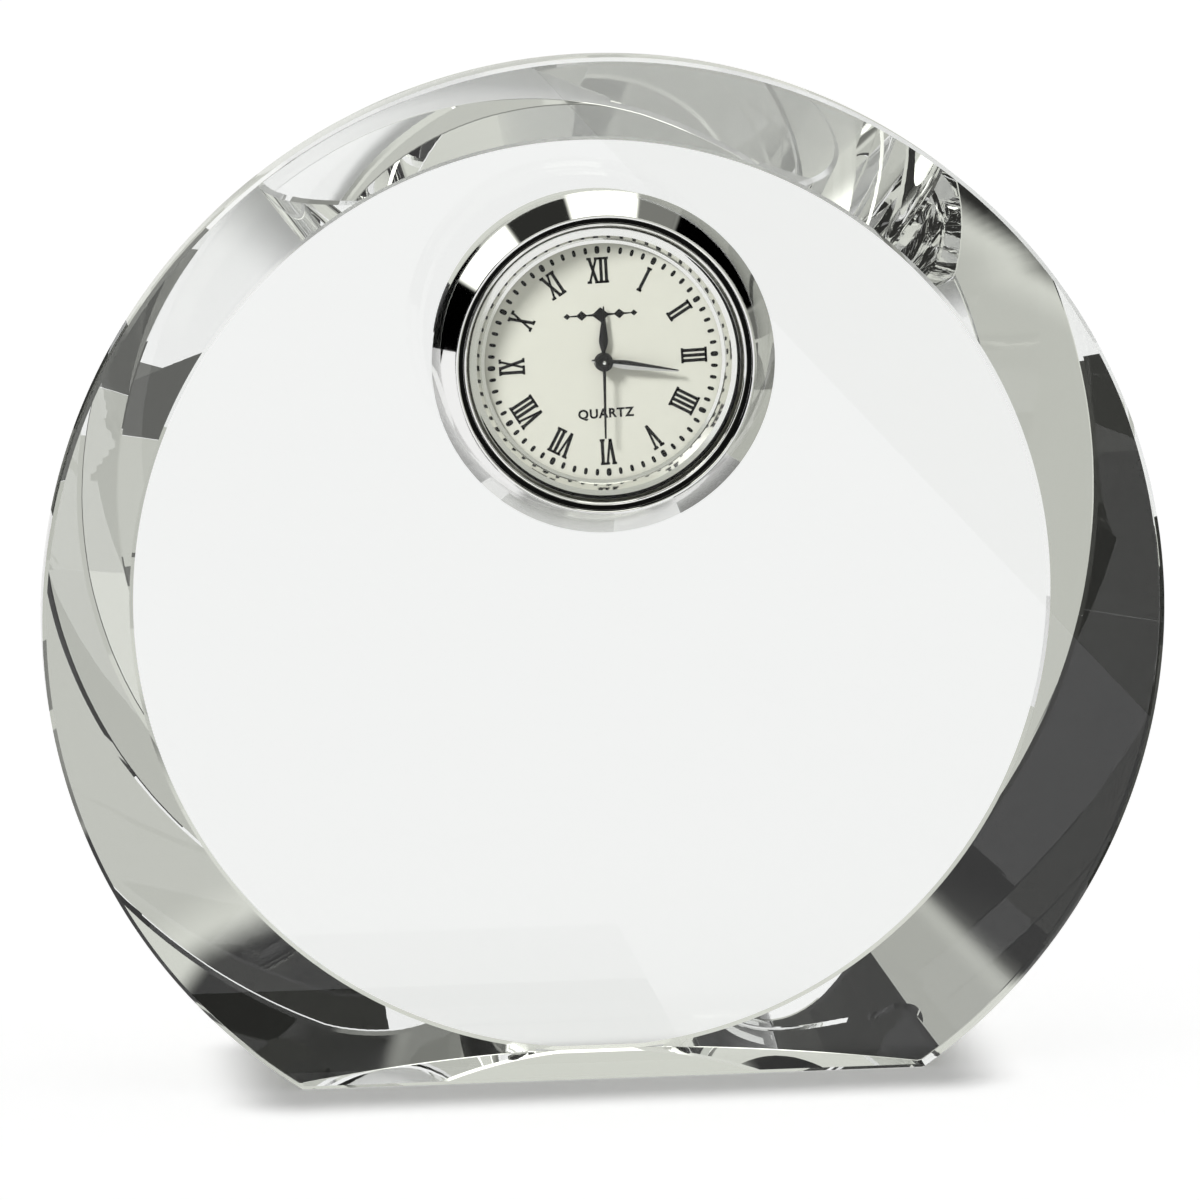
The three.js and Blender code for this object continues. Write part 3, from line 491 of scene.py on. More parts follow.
@dataclass(frozen=True)
class Glass:
    """Clear glass with a faint tint and a faint waviness in its polish.

    Attributes:
        tint: the colour that light takes on at each surface.
        ior: index of refraction.
        waves: scale of the waviness in steps per metre.
        relief: height of the waviness in millimetres.
        lets_lamps_through: whether lamps light what is behind it, as through a thin pane.
    """

    tint: Triple
    ior: float
    waves: float
    relief: float
    lets_lamps_through: bool = False

    def make(self, name: str, effects: Effects) -> Material:
        """Builds the material.

        Args:
            name: the material's name.
            effects: the shared groups.

        Returns:
            The material.
        """
        material, nodes, shader = new_material(name)
        tone = effects.put(nodes, effects.grain, Scale=self.waves).outputs["Tone"]
        cooler = tuple(c * 0.995 for c in self.tint)
        colour = nodes.mix(tone, (*cooler, 1.0), (*self.tint, 1.0))
        nodes.put(shader, Base_Color=colour, Roughness=0.0, IOR=self.ior, Transmission_Weight=1.0)
        nodes.relief(shader, 1.0, self.relief, tone)
        if self.lets_lamps_through:
            shadow = nodes.add("ShaderNodeLightPath").outputs["Is Shadow Ray"]
            clear = nodes.add("ShaderNodeBsdfTransparent").outputs["BSDF"]
            nodes.surface(shadow, shader.outputs["BSDF"], clear)
        return material


@dataclass(frozen=True)
class PaintedReflectionFacets:
    """Polished hands: one facet bright and the other blackened.

    Attributes:
        dark: colour of the black facet, the hand's own colour.
        bright: colour of the painted reflection on the bright facet.
    """

    dark: Triple = (0.012, 0.012, 0.013)
    bright: Triple = (0.85, 0.85, 0.84)

    def make(self, name: str, effects: Effects, across: Array) -> Material:
        """Builds the material.

        Args:
            name: the material's name.
            effects: the shared groups.
            across: direction in the frame that the facet with the painted reflection leans towards.

        Returns:
            The material.
        """
        material, nodes, shader = new_material(name)
        grain = effects.put(nodes, effects.grain, Scale=2500.0, Contrast=1.4)
        tone = grain.outputs["Tone"]
        lean = nodes.add("ShaderNodeVectorMath", operation="DOT_PRODUCT")
        nodes.feed(lean.inputs[0], nodes.add("ShaderNodeTexCoord").outputs["Normal"])
        nodes.feed(lean.inputs[1], tuple(across))
        # painted reflection: the facet whose normal leans towards across is painted bright
        side = nodes.math("MULTIPLY", nodes.math("SUBTRACT", lean.outputs["Value"], 0.1), 20.0, clamp=True)
        worn = nodes.mix(tone, (*self.dark, 1.0), (*(c * 1.8 for c in self.dark), 1.0))
        colour = nodes.mix(side, worn, (*self.bright, 1.0))
        nodes.put(shader, Base_Color=colour, Roughness=nodes.spread(tone, 0.16, 0.24))
        nodes.relief(shader, 0.4, 0.001, grain.outputs["Height"])
        return material


class Wardrobe:
    """Every finish of the clock, made once."""

    CLEAR: dict[str, Glass] = {
        "crystal": Glass((0.86, 0.87, 0.862), 1.52, 30.0, 0.004),
        "lens_glass": Glass((0.985, 0.99, 0.985), 1.22, 60.0, 0.0005, lets_lamps_through=True),
    }
    SOLID: dict[str, Finish] = {
        "chrome": Finish((0.86, 0.86, 0.85), 0.05, 1.0, (0.025, 0.06), 900, 0.0002),
        "reflector": Finish((0.84, 0.84, 0.82), 0.06, 1.0, (0.06, 0.12), 600, 0.0005),
        # painted shade: near-black for the bezel's groove and the dark ring on the mirror ring's land
        "groove_black": Finish((0.004, 0.004, 0.004), 0.3, 0.0, (0.5, 0.65), 900, 0.001, gleam=0.1),
        "dial": Finish((0.655, 0.655, 0.58), 0.03, 0.0, (0.45, 0.55), 1800, 0.001),
        "ink": Finish((0.006, 0.006, 0.006), 0.3, 0.0, (0.5, 0.65), 3000, 0.0008, gleam=0.2),
        "hand_black": Finish((0.008, 0.008, 0.008), 0.4, 0.0, (0.25, 0.35), 2500, 0.0006, gleam=0.35),
        "steel": Finish((0.56, 0.57, 0.58), 0.15, 1.0, (0.22, 0.36), 900, 0.001, lathe=0.04),
        "brass": Finish((0.78, 0.57, 0.24), 0.16, 1.0, (0.2, 0.34), 900, 0.001, lathe=0.05),
        "copper": Finish((0.78, 0.36, 0.18), 0.25, 1.0, (0.25, 0.4), 5000, 0.02),
        "iron": Finish((0.33, 0.34, 0.36), 0.25, 1.0, (0.35, 0.5), 1200, 0.003),
        "magnet": Finish((0.16, 0.165, 0.18), 0.3, 0.8, (0.4, 0.55), 1500, 0.004),
        "black_plastic": Finish((0.022, 0.022, 0.024), 0.3, 0.0, (0.32, 0.48), 1600, 0.006, dust=0.12),
        "white_plastic": Finish((0.72, 0.71, 0.67), 0.06, 0.0, (0.34, 0.46), 1400, 0.004, dust=0.1),
        "rubber": Finish((0.03, 0.03, 0.032), 0.3, 0.0, (0.6, 0.75), 2200, 0.008, dust=0.2),
        "board": Finish((0.03, 0.16, 0.07), 0.3, 0.0, (0.3, 0.45), 1800, 0.006),
        "epoxy": Finish((0.012, 0.012, 0.013), 0.3, 0.0, (0.2, 0.35), 900, 0.004),
        "battery": Finish((0.68, 0.68, 0.67), 0.1, 1.0, (0.16, 0.3), 900, 0.0012, lathe=0.06),
    }

    def __init__(self, effects: Effects, axis: Triple) -> None:
        """Makes the materials.

        Args:
            effects: the shared groups.
            axis: a point on the axis that the turned parts share.
        """
        self.effects = effects
        self.materials = {name: finish.make(name, effects, axis) for name, finish in self.SOLID.items()}
        self.materials |= {name: glass.make(name, effects) for name, glass in self.CLEAR.items()}

    def __getitem__(self, name: str) -> Material:
        """The material of that name."""
        return self.materials[name]


def settle(piece: Piece, body: str, slot: str, *nodes: str) -> Piece:
    """Rides a piece on its body and hides the CAD nodes that it stands for.

    Args:
        piece: the finished piece.
        body: the body that it moves with.
        slot: the record's material slot; not used.
        *nodes: CAD nodes that it replaces.

    Returns:
        The piece.
    """
    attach(piece, body)
    if nodes:
        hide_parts(*nodes)
    LOG.info("%s rides on %s", piece.name, body)
    return piece


@dataclass(frozen=True)
class Turned:
    """A turned piece of the clock with all that it needs.

    Attributes:
        name: the piece's name.
        profile: its section, as rows of radius and level.
        finish: the name of its finish.
        slot: the record's material slot.
        nodes: CAD nodes that it replaces.
        body: the body that it moves with.
        ring: whether the profile closes on itself, clear of the axis.
        columns: steps round the axis.
    """

    name: str
    profile: Array
    finish: str
    slot: str
    nodes: tuple[str, ...] = ()
    body: str = "insert"
    ring: bool = True
    columns: int = 192

    def build(self, place: Place, wardrobe: Wardrobe) -> None:
        """Turns the piece and settles it."""
        surface = Surface().add_grid(turned(self.profile, self.columns), close_rows=self.ring)
        settle(surface.build(self.name, place, wardrobe[self.finish]), self.body, self.slot, *self.nodes)


# ---- The glass block ----


@dataclass
class GlassBlock:
    """The crystal: a disc with a straight rim and a long back bevel, flat below and bored blind."""

    place: Place
    radius: float = 60.0
    thickness: float = 25.0
    base: float = 49.8
    rim_depth: float = 5.5
    back_radius: float = 50.0
    edge: float = 0.4
    crease: float = 0.1
    hole_radius: float = 17.5
    hole_rise: float = 27.8
    hole_depth: float = 13.0
    hole_edge: float = 0.3
    columns: int = 360

    def angles(self) -> Array:
        """Angles from straight down, with a pair of columns close on each side of the two base corners."""
        even = np.linspace(-np.pi, np.pi, self.columns, endpoint=False)
        corner = math.acos(self.base / self.radius)
        step = 2 * self.crease / self.radius
        corners = np.array([s * corner + d for s in (-1, 1) for d in (-step, step)])
        clear = np.abs(even[:, None] - corners[None, :]).min(axis=1) > step
        return np.sort(np.concatenate([even[clear], corners]))

    def reach(self, angle: Array, radius: Array | float, base: float) -> Array:
        """Distance of the outline from the middle: the radius, or base / cos(angle) if that is nearer."""
        down = np.cos(angle)
        flat = np.where(down > 1e-6, base / np.maximum(down, 1e-6), np.inf)
        return np.minimum(radius, flat)

    def cone(self, level: Array) -> Array:
        """Radius of the bevel, falling evenly from the rim's back edge to the back face."""
        run = np.clip((-level - self.rim_depth) / (self.thickness - self.rim_depth), 0, 1)
        return self.radius - (self.radius - self.back_radius) * run

    def crossing(self, angle: Array) -> Array:
        """Level at which a column passes from rim or base to the bevel."""
        flat = self.reach(angle, self.radius, self.base)
        share = (self.radius - flat) / (self.radius - self.back_radius)
        level = -self.rim_depth - share * (self.thickness - self.rim_depth)
        return np.maximum(level, -self.thickness + self.edge)

    def row(self, angle: Array, reach: Array, level: Array | float) -> Array:
        """Points at a reach and level: (reach sin a, -reach cos a, level)."""
        level = np.broadcast_to(level, angle.shape)
        return np.stack([reach * np.sin(angle), -reach * np.cos(angle), level], axis=-1)

    def grid(self) -> Array:
        """Rows from the bottom of the hole out over the front, round the rim and in over the back."""
        a = self.angles()
        rim = self.row(a, self.reach(a, self.radius, self.base), 0.0)
        aim = np.arctan2(rim[:, 1] - self.hole_rise, rim[:, 0])

        def bore(radius: float, level: float) -> Array:
            x, y = radius * np.cos(aim), self.hole_rise + radius * np.sin(aim)
            return np.stack([x, y, np.full_like(x, level)], axis=-1)

        e = self.edge
        cross = self.crossing(a)
        before = np.minimum(cross + self.crease, -e)
        after = np.maximum(cross - self.crease, -self.thickness + e)
        back = -self.thickness
        rows = [
            bore(0.0, -self.hole_depth),
            bore(self.hole_radius - self.hole_edge, -self.hole_depth),
            bore(self.hole_radius, -self.hole_depth + self.hole_edge),
            bore(self.hole_radius, -self.hole_edge),
            bore(self.hole_radius + self.hole_edge, 0.0),
            self.row(a, self.reach(a, self.radius - e, self.base - e), 0.0),
            self.row(a, self.reach(a, self.radius, self.base), -e),
            self.row(a, self.reach(a, self.cone(before), self.base), before),
            self.row(a, self.reach(a, self.cone(after), self.base), after),
            self.row(a, self.reach(a, self.back_radius, self.base), back + e),
            self.row(a, self.reach(a, self.back_radius - e, self.base - e), back),
            self.row(a, np.zeros_like(a), back),
        ]
        return np.stack(rows)

    def build(self, wardrobe: Wardrobe) -> None:
        """Makes the block and puts it in the frame."""
        surface = Surface().add_grid(self.grid())
        piece = surface.build("glass_block", self.place, wardrobe["crystal"], sharp=8)
        settle(piece, "glass", "crystal", "crystal_block")


# ---- The front of the clock ----


@dataclass
class Front:
    """Bezel, lens and reflector ring."""

    place: Place
    outer: float = 18.25
    skirt: float = 17.2
    bottom: float = 0.3
    top: float = 3.4
    rim: float = 0.75
    crest: float = 15.8
    step: float = 15.6
    step_level: float = 2.95
    bead: float = 15.05
    bead_top: float = 3.2
    bore: float = 14.7
    floor: float = 2.5
    swell: float = 0.07
    lens_radius: float = 14.4
    lens_back: float = 2.0
    lens_front: float = 2.9
    painted_shade_ring_bore: float = 14.1
    reflector_bore: float = 12.6
    reflector_back: float = 0.3
    reflector_top: float = 1.7

    def bezel_profile(self) -> Array:
        """The bezel's section: skirt, rim, a cone that swells a little, step and rounded bead.

        The cone runs straight from the rim to the crest, and swells outwards by its swell times
        sin(pi t), where t goes from 0 to 1 along it.
        """
        skirt_in = self.skirt - 0.3
        foot = [
            [self.bore, self.bottom],
            [skirt_in, self.bottom],
            [skirt_in, -1.7],
            [self.skirt, -1.7],
            [self.skirt, self.bottom],
            [self.outer - 0.12, self.bottom],
            [self.outer, self.bottom + 0.12],
        ]
        t = np.linspace(0, 1, 18)[:, None]
        start, end = np.array([self.outer, self.rim]), np.array([self.crest + 0.12, self.top - 0.1])
        along = end - start
        out = np.array([along[1], -along[0]]) / np.hypot(*along)
        cone = start + along * t + out * self.swell * np.sin(np.pi * t)
        crest = arc((self.crest, self.top - 0.12), (0.12, 0.12), 50, 90, 4)
        lip = arc((self.step + 0.1, self.top - 0.1), (0.1, 0.1), 90, 180, 4)
        step = [[self.step, self.floor], [self.bead, self.floor]]
        middle = (self.bead + self.bore) / 2
        radii = ((self.bead - self.bore) / 2, self.bead_top - self.step_level)
        bead = arc((middle, self.step_level), radii, 0, 180, 12)
        return joined(foot, cone, crest, lip, step, bead)

    def groove_painted_shade_profile(self) -> Array:
        """A shallow dark band on the floor of the step: painted shade in the groove."""
        low, high = self.floor - 0.03, self.floor + 0.03
        a, b = self.bead + 0.01, self.step - 0.01
        return np.array([[a, low], [b, low], [b, high], [a, high]])

    def painted_shade_ring_profile(self) -> Array:
        """A thin dark ring that lies on the mirror ring's land, under the lens: painted shade for the dark
        band at the land's outer edge.
        """
        low, high = self.reflector_top - 0.03, self.reflector_top + 0.12
        a, b = self.painted_shade_ring_bore, self.lens_radius
        return np.array([[a, low], [b, low], [b, high], [a + 0.1, high], [a, high - 0.08]])

    def lens_profile(self) -> Array:
        """A flat disc with a rounded front edge."""
        edge = arc((self.lens_radius - 0.3, self.lens_front - 0.3), (0.3, 0.3), 0, 90, 8)
        return joined([[0, self.lens_back], [self.lens_radius, self.lens_back]], edge, [[0, self.lens_front]])

    def reflector_profile(self) -> Array:
        """A mirror ring: a fine lip, a steep cone that mirrors the minute marks, and a flat land."""
        low, high = self.reflector_back, self.reflector_top
        a, b = self.reflector_bore, self.lens_radius
        cone = [[a + 0.95, high - 0.08], [a + 0.35, low + 0.16], [a, low + 0.12]]
        return joined([[a, low], [b, low], [b, high]], cone)

    def build(self, wardrobe: Wardrobe) -> None:
        """Makes the pieces and puts them in the frame."""
        for part in (
            Turned("bezel_ring", self.bezel_profile(), "chrome", "chrome", ("bezel",), columns=256),
            # the groove band is painted shade in the chrome bezel's groove
            Turned("bezel_groove", self.groove_painted_shade_profile(), "groove_black", "chrome"),
            # painted shade: a dark ring where the mirror ring's land looks dark beside the bezel's wall
            Turned("lens_gasket", self.painted_shade_ring_profile(), "groove_black", "black_plastic"),
            Turned("lens_disc", self.lens_profile(), "lens_glass", "lens_glass", ("lens",), ring=False),
            Turned("mirror_ring", self.reflector_profile(), "reflector", "reflector", ("reflector_ring",)),
        ):
            part.build(self.place, wardrobe)


# ---- The dial ----


def prisms(outlines: Array, low: float, high: float) -> Surface:
    """Flat plates: each outline, star-shaped about its middle, is carried from one level to another.

    Args:
        outlines: an array of plates, each a loop of x and y.
        low: level of their backs.
        high: level of their fronts.

    Returns:
        A surface with four rows for each plate: back middle, back loop, front loop, front middle.
    """
    count, sides = outlines.shape[:2]
    middle = np.broadcast_to(outlines.mean(axis=1, keepdims=True), outlines.shape)
    flat = np.stack([middle, outlines, outlines, middle], axis=1)
    level = np.broadcast_to(np.array([low, low, high, high])[None, :, None, None], (count, 4, sides, 1))
    quads = grid_faces(4, sides, False, True)[None] + 4 * sides * np.arange(count)[:, None, None]
    return Surface().add(np.concatenate([flat, level], axis=-1), quads.reshape(-1, 4))


def slab(start: Pair, end: Pair, width: float) -> list[Pair]:
    """A stroke with level ends: its width is measured across, so that it stands flush on a line."""
    (x, y), (x2, y2), half = start, end, width / 2
    return [(x - half, y), (x + half, y), (x2 + half, y2), (x2 - half, y2)]


class Glyph(Enum):
    """Roman figures, by the width that each takes in a numeral."""

    I = 0.54
    V = 1.12
    X = 1.16


@dataclass
class DialFace:
    """The dial with its printed figures, minute track, word and ornament."""

    place: Place
    radius: float = 15.4
    front: float = 0.0
    thickness: float = 0.4
    bore: float = 0.9
    inner: float = 8.3
    outer: float = 11.06
    heavy: float = 0.34
    light: float = 0.25
    serif: float = 0.26
    track: float = (11.5 + 12.2) / 2
    ink: float = 0.02
    NUMERALS: tuple[str, ...] = ("XII", "I", "II", "III", "IIII", "V", "VI", "VII", "VIII", "IX", "X", "XI")

    def figure(self, glyph: Glyph, middle: float) -> list[list[Pair]]:
        """Strokes of one figure, with x from its middle and y from the numeral's mid height.

        Args:
            glyph: the figure.
            middle: x of its middle.

        Returns:
            Four-cornered outlines.
        """
        top = (self.outer - self.inner) / 2
        half = glyph.value / 2
        lean = half - 0.18
        bar = self.serif

        def foot(x: float, level: float, reach: float) -> list[Pair]:
            inside = level - math.copysign(bar, level)
            return [(x - reach, level), (x + reach, level), (x + reach, inside), (x - reach, inside)]

        if glyph is Glyph.I:
            stem = slab((middle, top), (middle, -top), self.heavy)
            return [stem, foot(middle, top, half), foot(middle, -top, half)]
        left, right = middle - lean, middle + lean
        if glyph is Glyph.V:
            feet = [foot(left, top, 0.26), foot(right, top, 0.26)]
            ends = middle, middle
        else:
            feet = [foot(x, y, 0.24) for x in (left, right) for y in (top, -top)]
            ends = right, left
        falling = slab((left, top), (ends[0], -top), self.heavy)
        return [falling, slab((right, top), (ends[1], -top), self.light), *feet]

    def numeral(self, hour: int) -> Array:
        """One numeral's strokes, turned so that its foot points to the dial's middle."""
        glyphs = [Glyph[letter] for letter in self.NUMERALS[hour]]
        widths = np.array([g.value for g in glyphs])
        middles = np.cumsum(widths) - widths / 2 - widths.sum() / 2
        strokes = np.array([s for g, m in zip(glyphs, middles) for s in self.figure(g, m)])
        angle = np.pi / 2 - hour * np.pi / 6
        outward = np.array([math.cos(angle), math.sin(angle)])
        along = np.array([math.sin(angle), -math.cos(angle)])
        centre = (self.inner + self.outer) / 2
        return strokes[..., :1] * along + (strokes[..., 1:] + centre) * outward

    def marks(self) -> Array:
        """Sixty oval marks, every fifth one bolder: an ellipse on its radius, in ten corners."""
        minute = np.arange(60)
        bold = (minute % 5 == 0)[:, None]
        angle = (np.pi / 2 - minute * np.pi / 30)[:, None]
        turn = np.linspace(0, 2 * np.pi, 10, endpoint=False)[None, :]
        half_long = np.where(bold, 0.42, 0.37)
        half_wide = np.where(bold, 0.27, 0.19)
        swing, rise = (np.sign(v) * np.abs(v) ** 0.7 for v in (np.sin(turn), np.cos(turn)))
        across = half_wide * swing
        radial = self.track + half_long * rise
        x = radial * np.cos(angle) + across * np.sin(angle)
        y = radial * np.sin(angle) - across * np.cos(angle)
        return np.stack([x, y], axis=-1)

    def ornament(self) -> Array:
        """A row of five lozenges that shrink outwards, joined by tapered lines, above the middle."""
        y = 4.95
        sizes = ((0.0, 0.95, 0.8), (2.0, 0.62, 0.52), (3.55, 0.38, 0.32))
        plates = []
        for x, wide, high in sizes:
            for at in (-x, x) if x else (x,):
                plates.append([(at, y + high), (at + wide, y), (at, y - high), (at - wide, y)])
        for start, end, half in ((0.8, 1.5, 0.13), (2.5, 3.3, 0.1)):
            for side in (-1, 1):
                a, b = side * start, side * end
                plates.append([(a, y + half), (b, y + half * 0.6), (b, y - half * 0.6), (a, y - half)])
        return np.array(plates)

    def print_piece(self, name: str, outlines: Array, wardrobe: Wardrobe) -> None:
        """Puts one printed group on the dial, half sunk in it."""
        surface = prisms(outlines, self.front - self.ink, self.front + self.ink)
        piece = surface.build(name, self.place, wardrobe["ink"], sharp=30)
        settle(piece, "insert", "hand_black")

    def word(self, wardrobe: Wardrobe) -> None:
        """The word for the movement's kind, set as text and made a mesh before it is placed."""
        curve = bpy.data.curves.new("dial_word", "FONT")
        curve.body = "QUARTZ"
        curve.align_x, curve.align_y = "CENTER", "CENTER"
        curve.size, curve.space_character = 1.34, 1.14
        curve.offset, curve.extrude = 0.045, self.ink
        text = add_object("dial_word", curve)
        mesh = evaluated_mesh(text)
        bpy.data.objects.remove(text)
        points = np.empty(len(mesh.vertices) * 3, dtype=np.float32)
        mesh.vertices.foreach_get("co", points)
        points = points.reshape(-1, 3) + np.array([0.0, -5.6, self.front])
        mesh.vertices.foreach_set("co", self.place.world(points).astype(np.float32).ravel())
        weld(mesh)
        mesh.materials.clear()
        mesh.materials.append(wardrobe["ink"])
        settle(add_object("dial_word", mesh), "insert", "hand_black")

    def build(self, wardrobe: Wardrobe) -> None:
        """Makes the plate and its print."""
        back, front, r, bore = self.front - self.thickness, self.front, self.radius, self.bore
        profile = joined([[bore, back], [r, back], [r, front - 0.05], [r - 0.05, front], [bore, front]])
        Turned("dial_plate", profile, "dial", "dial", ("dial",)).build(self.place, wardrobe)
        figures = np.concatenate([self.numeral(hour) for hour in range(12)])
        self.print_piece("dial_numerals", figures, wardrobe)
        self.print_piece("minute_track", self.marks(), wardrobe)
        self.print_piece("dial_ornament", self.ornament(), wardrobe)
        self.word(wardrobe)


# ---- The hands ----


@dataclass
class Hand:
    """A leaf-shaped hand with a ridge, or a plain needle, on a round hub.

    Attributes:
        name: the piece's name.
        body: the body that it moves with.
        node: the CAD node that it replaces.
        back: level of its back.
        length: from the axis to the tip.
        width: at the widest place.
        widest: distance of the widest place from the axis.
        hub: the hub's radius.
        bore: radius of the hole in the hub.
        clock_angle: degrees clockwise from twelve.
        tail: length beyond the axis.
        ridge: height of the ridge.
        tip: half width at the tip.
        thickness: of the blade.
        painted_reflection_facets: whether the facet to the hand's right, seen from the hub, is painted bright
            as a painted reflection.
    """

    name: str
    body: str
    node: str
    back: float
    length: float
    width: float
    widest: float
    hub: float
    bore: float
    clock_angle: float
    tail: float = 0.0
    ridge: float = 0.16
    tip: float = 0.05
    thickness: float = 0.2
    painted_reflection_facets: bool = False

    def direction(self) -> Array:
        """The way the hand points, as x and y."""
        a = math.radians(90 - self.clock_angle)
        return np.array([math.cos(a), math.sin(a)])

    def blade(self) -> Array:
        """Rows along the hand, each a five-sided section: flat back, two low sides and a ridge.

        The half width grows as sin from the neck to the widest place and falls evenly to the tip.
        """
        grow = np.linspace(0, 1, 14)
        fall = np.linspace(0, 1, 10)[1:]
        start = self.hub * 0.6 if not self.tail else -self.tail
        before, beyond = self.widest - start, self.length - self.widest
        along = np.concatenate([start + before * grow, self.widest + beyond * fall])
        neck = 0.3 * self.width / 2
        wide = self.width / 2
        swelling = neck + (wide - neck) * np.sin(grow * np.pi / 2) ** 2
        half = np.concatenate([swelling, wide - (wide - self.tip) * fall])
        side = self.back + 0.35 * self.thickness
        crown = side + self.ridge * np.minimum(1.0, half / (self.width / 2) + 0.25)
        zero = np.zeros_like(half)
        across = np.stack([-half, half, half, zero, -half], axis=1)
        level = np.stack([zero + self.back, zero + self.back, zero + side, crown, zero + side], axis=1)
        ahead = np.broadcast_to(along[:, None], across.shape)
        forward = self.direction()
        sideways = np.array([forward[1], -forward[0]])
        x = ahead * forward[0] + across * sideways[0]
        y = ahead * forward[1] + across * sideways[1]
        rows = np.stack([x, y, level], axis=-1)
        ends = [np.broadcast_to(rows[i].mean(axis=0), (1, 5, 3)) for i in (0, -1)]
        return np.concatenate([ends[0], rows, ends[1]])

    def hub_grid(self) -> Array:
        """A rounded ring round the arbor."""
        low, high = self.back, self.back + self.thickness
        edge = arc((self.hub - 0.08, high - 0.08), (0.08, 0.08), 0, 90, 5)
        return turned(joined([[self.bore, low], [self.hub, low]], edge, [[self.bore, high]]), 72)

    def build(self, place: Place, wardrobe: Wardrobe) -> None:
        """Makes the hand in the insert's axes."""
        surface = Surface().add_grid(self.blade())
        surface.add_grid(self.hub_grid(), close_rows=True)
        material = wardrobe["hand_black"]
        # the bright facet is a painted reflection
        if self.painted_reflection_facets:
            forward = self.direction()
            lean = place.world(np.array([[forward[1], -forward[0], 0.0], [0.0, 0.0, 0.0]]))
            across = (lean[0] - lean[1]) / MM
            material = PaintedReflectionFacets().make(self.name + "_facets", wardrobe.effects, across)
        piece = surface.build(self.name, place, material, sharp=25)
        settle(piece, self.body, "hand_black", self.node)


@dataclass
class Hands:
    """The three hands, from the dial outwards, with the cap and pin over their hubs."""

    place: Place
    cap_radius: float = 0.62
    cap_back: float = 1.44
    pin_radius: float = 0.2
    pin_back: float = 1.6
    HANDS: tuple[Hand, ...] = (
        Hand("hour_leaf", "hours", "hour_hand", back=0.5, length=5.9, width=0.98, widest=2.3,
             hub=1.0, bore=0.75, clock_angle=3.1),
        Hand("minute_leaf", "minutes", "minute_hand", back=0.9, length=8.0, width=0.95, widest=2.6,
             hub=0.95, bore=0.45, clock_angle=100.3, tail=1.3, tip=0.11, painted_reflection_facets=True),
        Hand("second_needle", "seconds", "second_hand", back=1.3, length=8.1, width=0.34, widest=0.44,
             hub=0.95, bore=0.22, clock_angle=182.0, tail=1.9, ridge=0.06, tip=0.1),
    )

    def build(self, wardrobe: Wardrobe) -> None:
        """Makes the hands, from the dial outwards."""
        for hand in self.HANDS:
            hand.build(self.place, wardrobe)
        r, level = self.cap_radius, self.cap_back
        cap = joined([[0.0, level], [r, level]], arc((0.0, level + 0.02), (r, 0.2), 0, 90, 10))
        r, level = self.pin_radius, self.pin_back
        pin = joined([[0.0, level], [r, level]], arc((0.0, level + 0.04), (r, 0.09), 0, 90, 6))
        for part in (
            Turned("hub_cap", cap, "hand_black", "hand_black", body="seconds", ring=False, columns=64),
            Turned("arbor_pin", pin, "chrome", "steel", body="seconds", ring=False, columns=32),
        ):
            part.build(self.place, wardrobe)


# ---- The case behind the dial ----


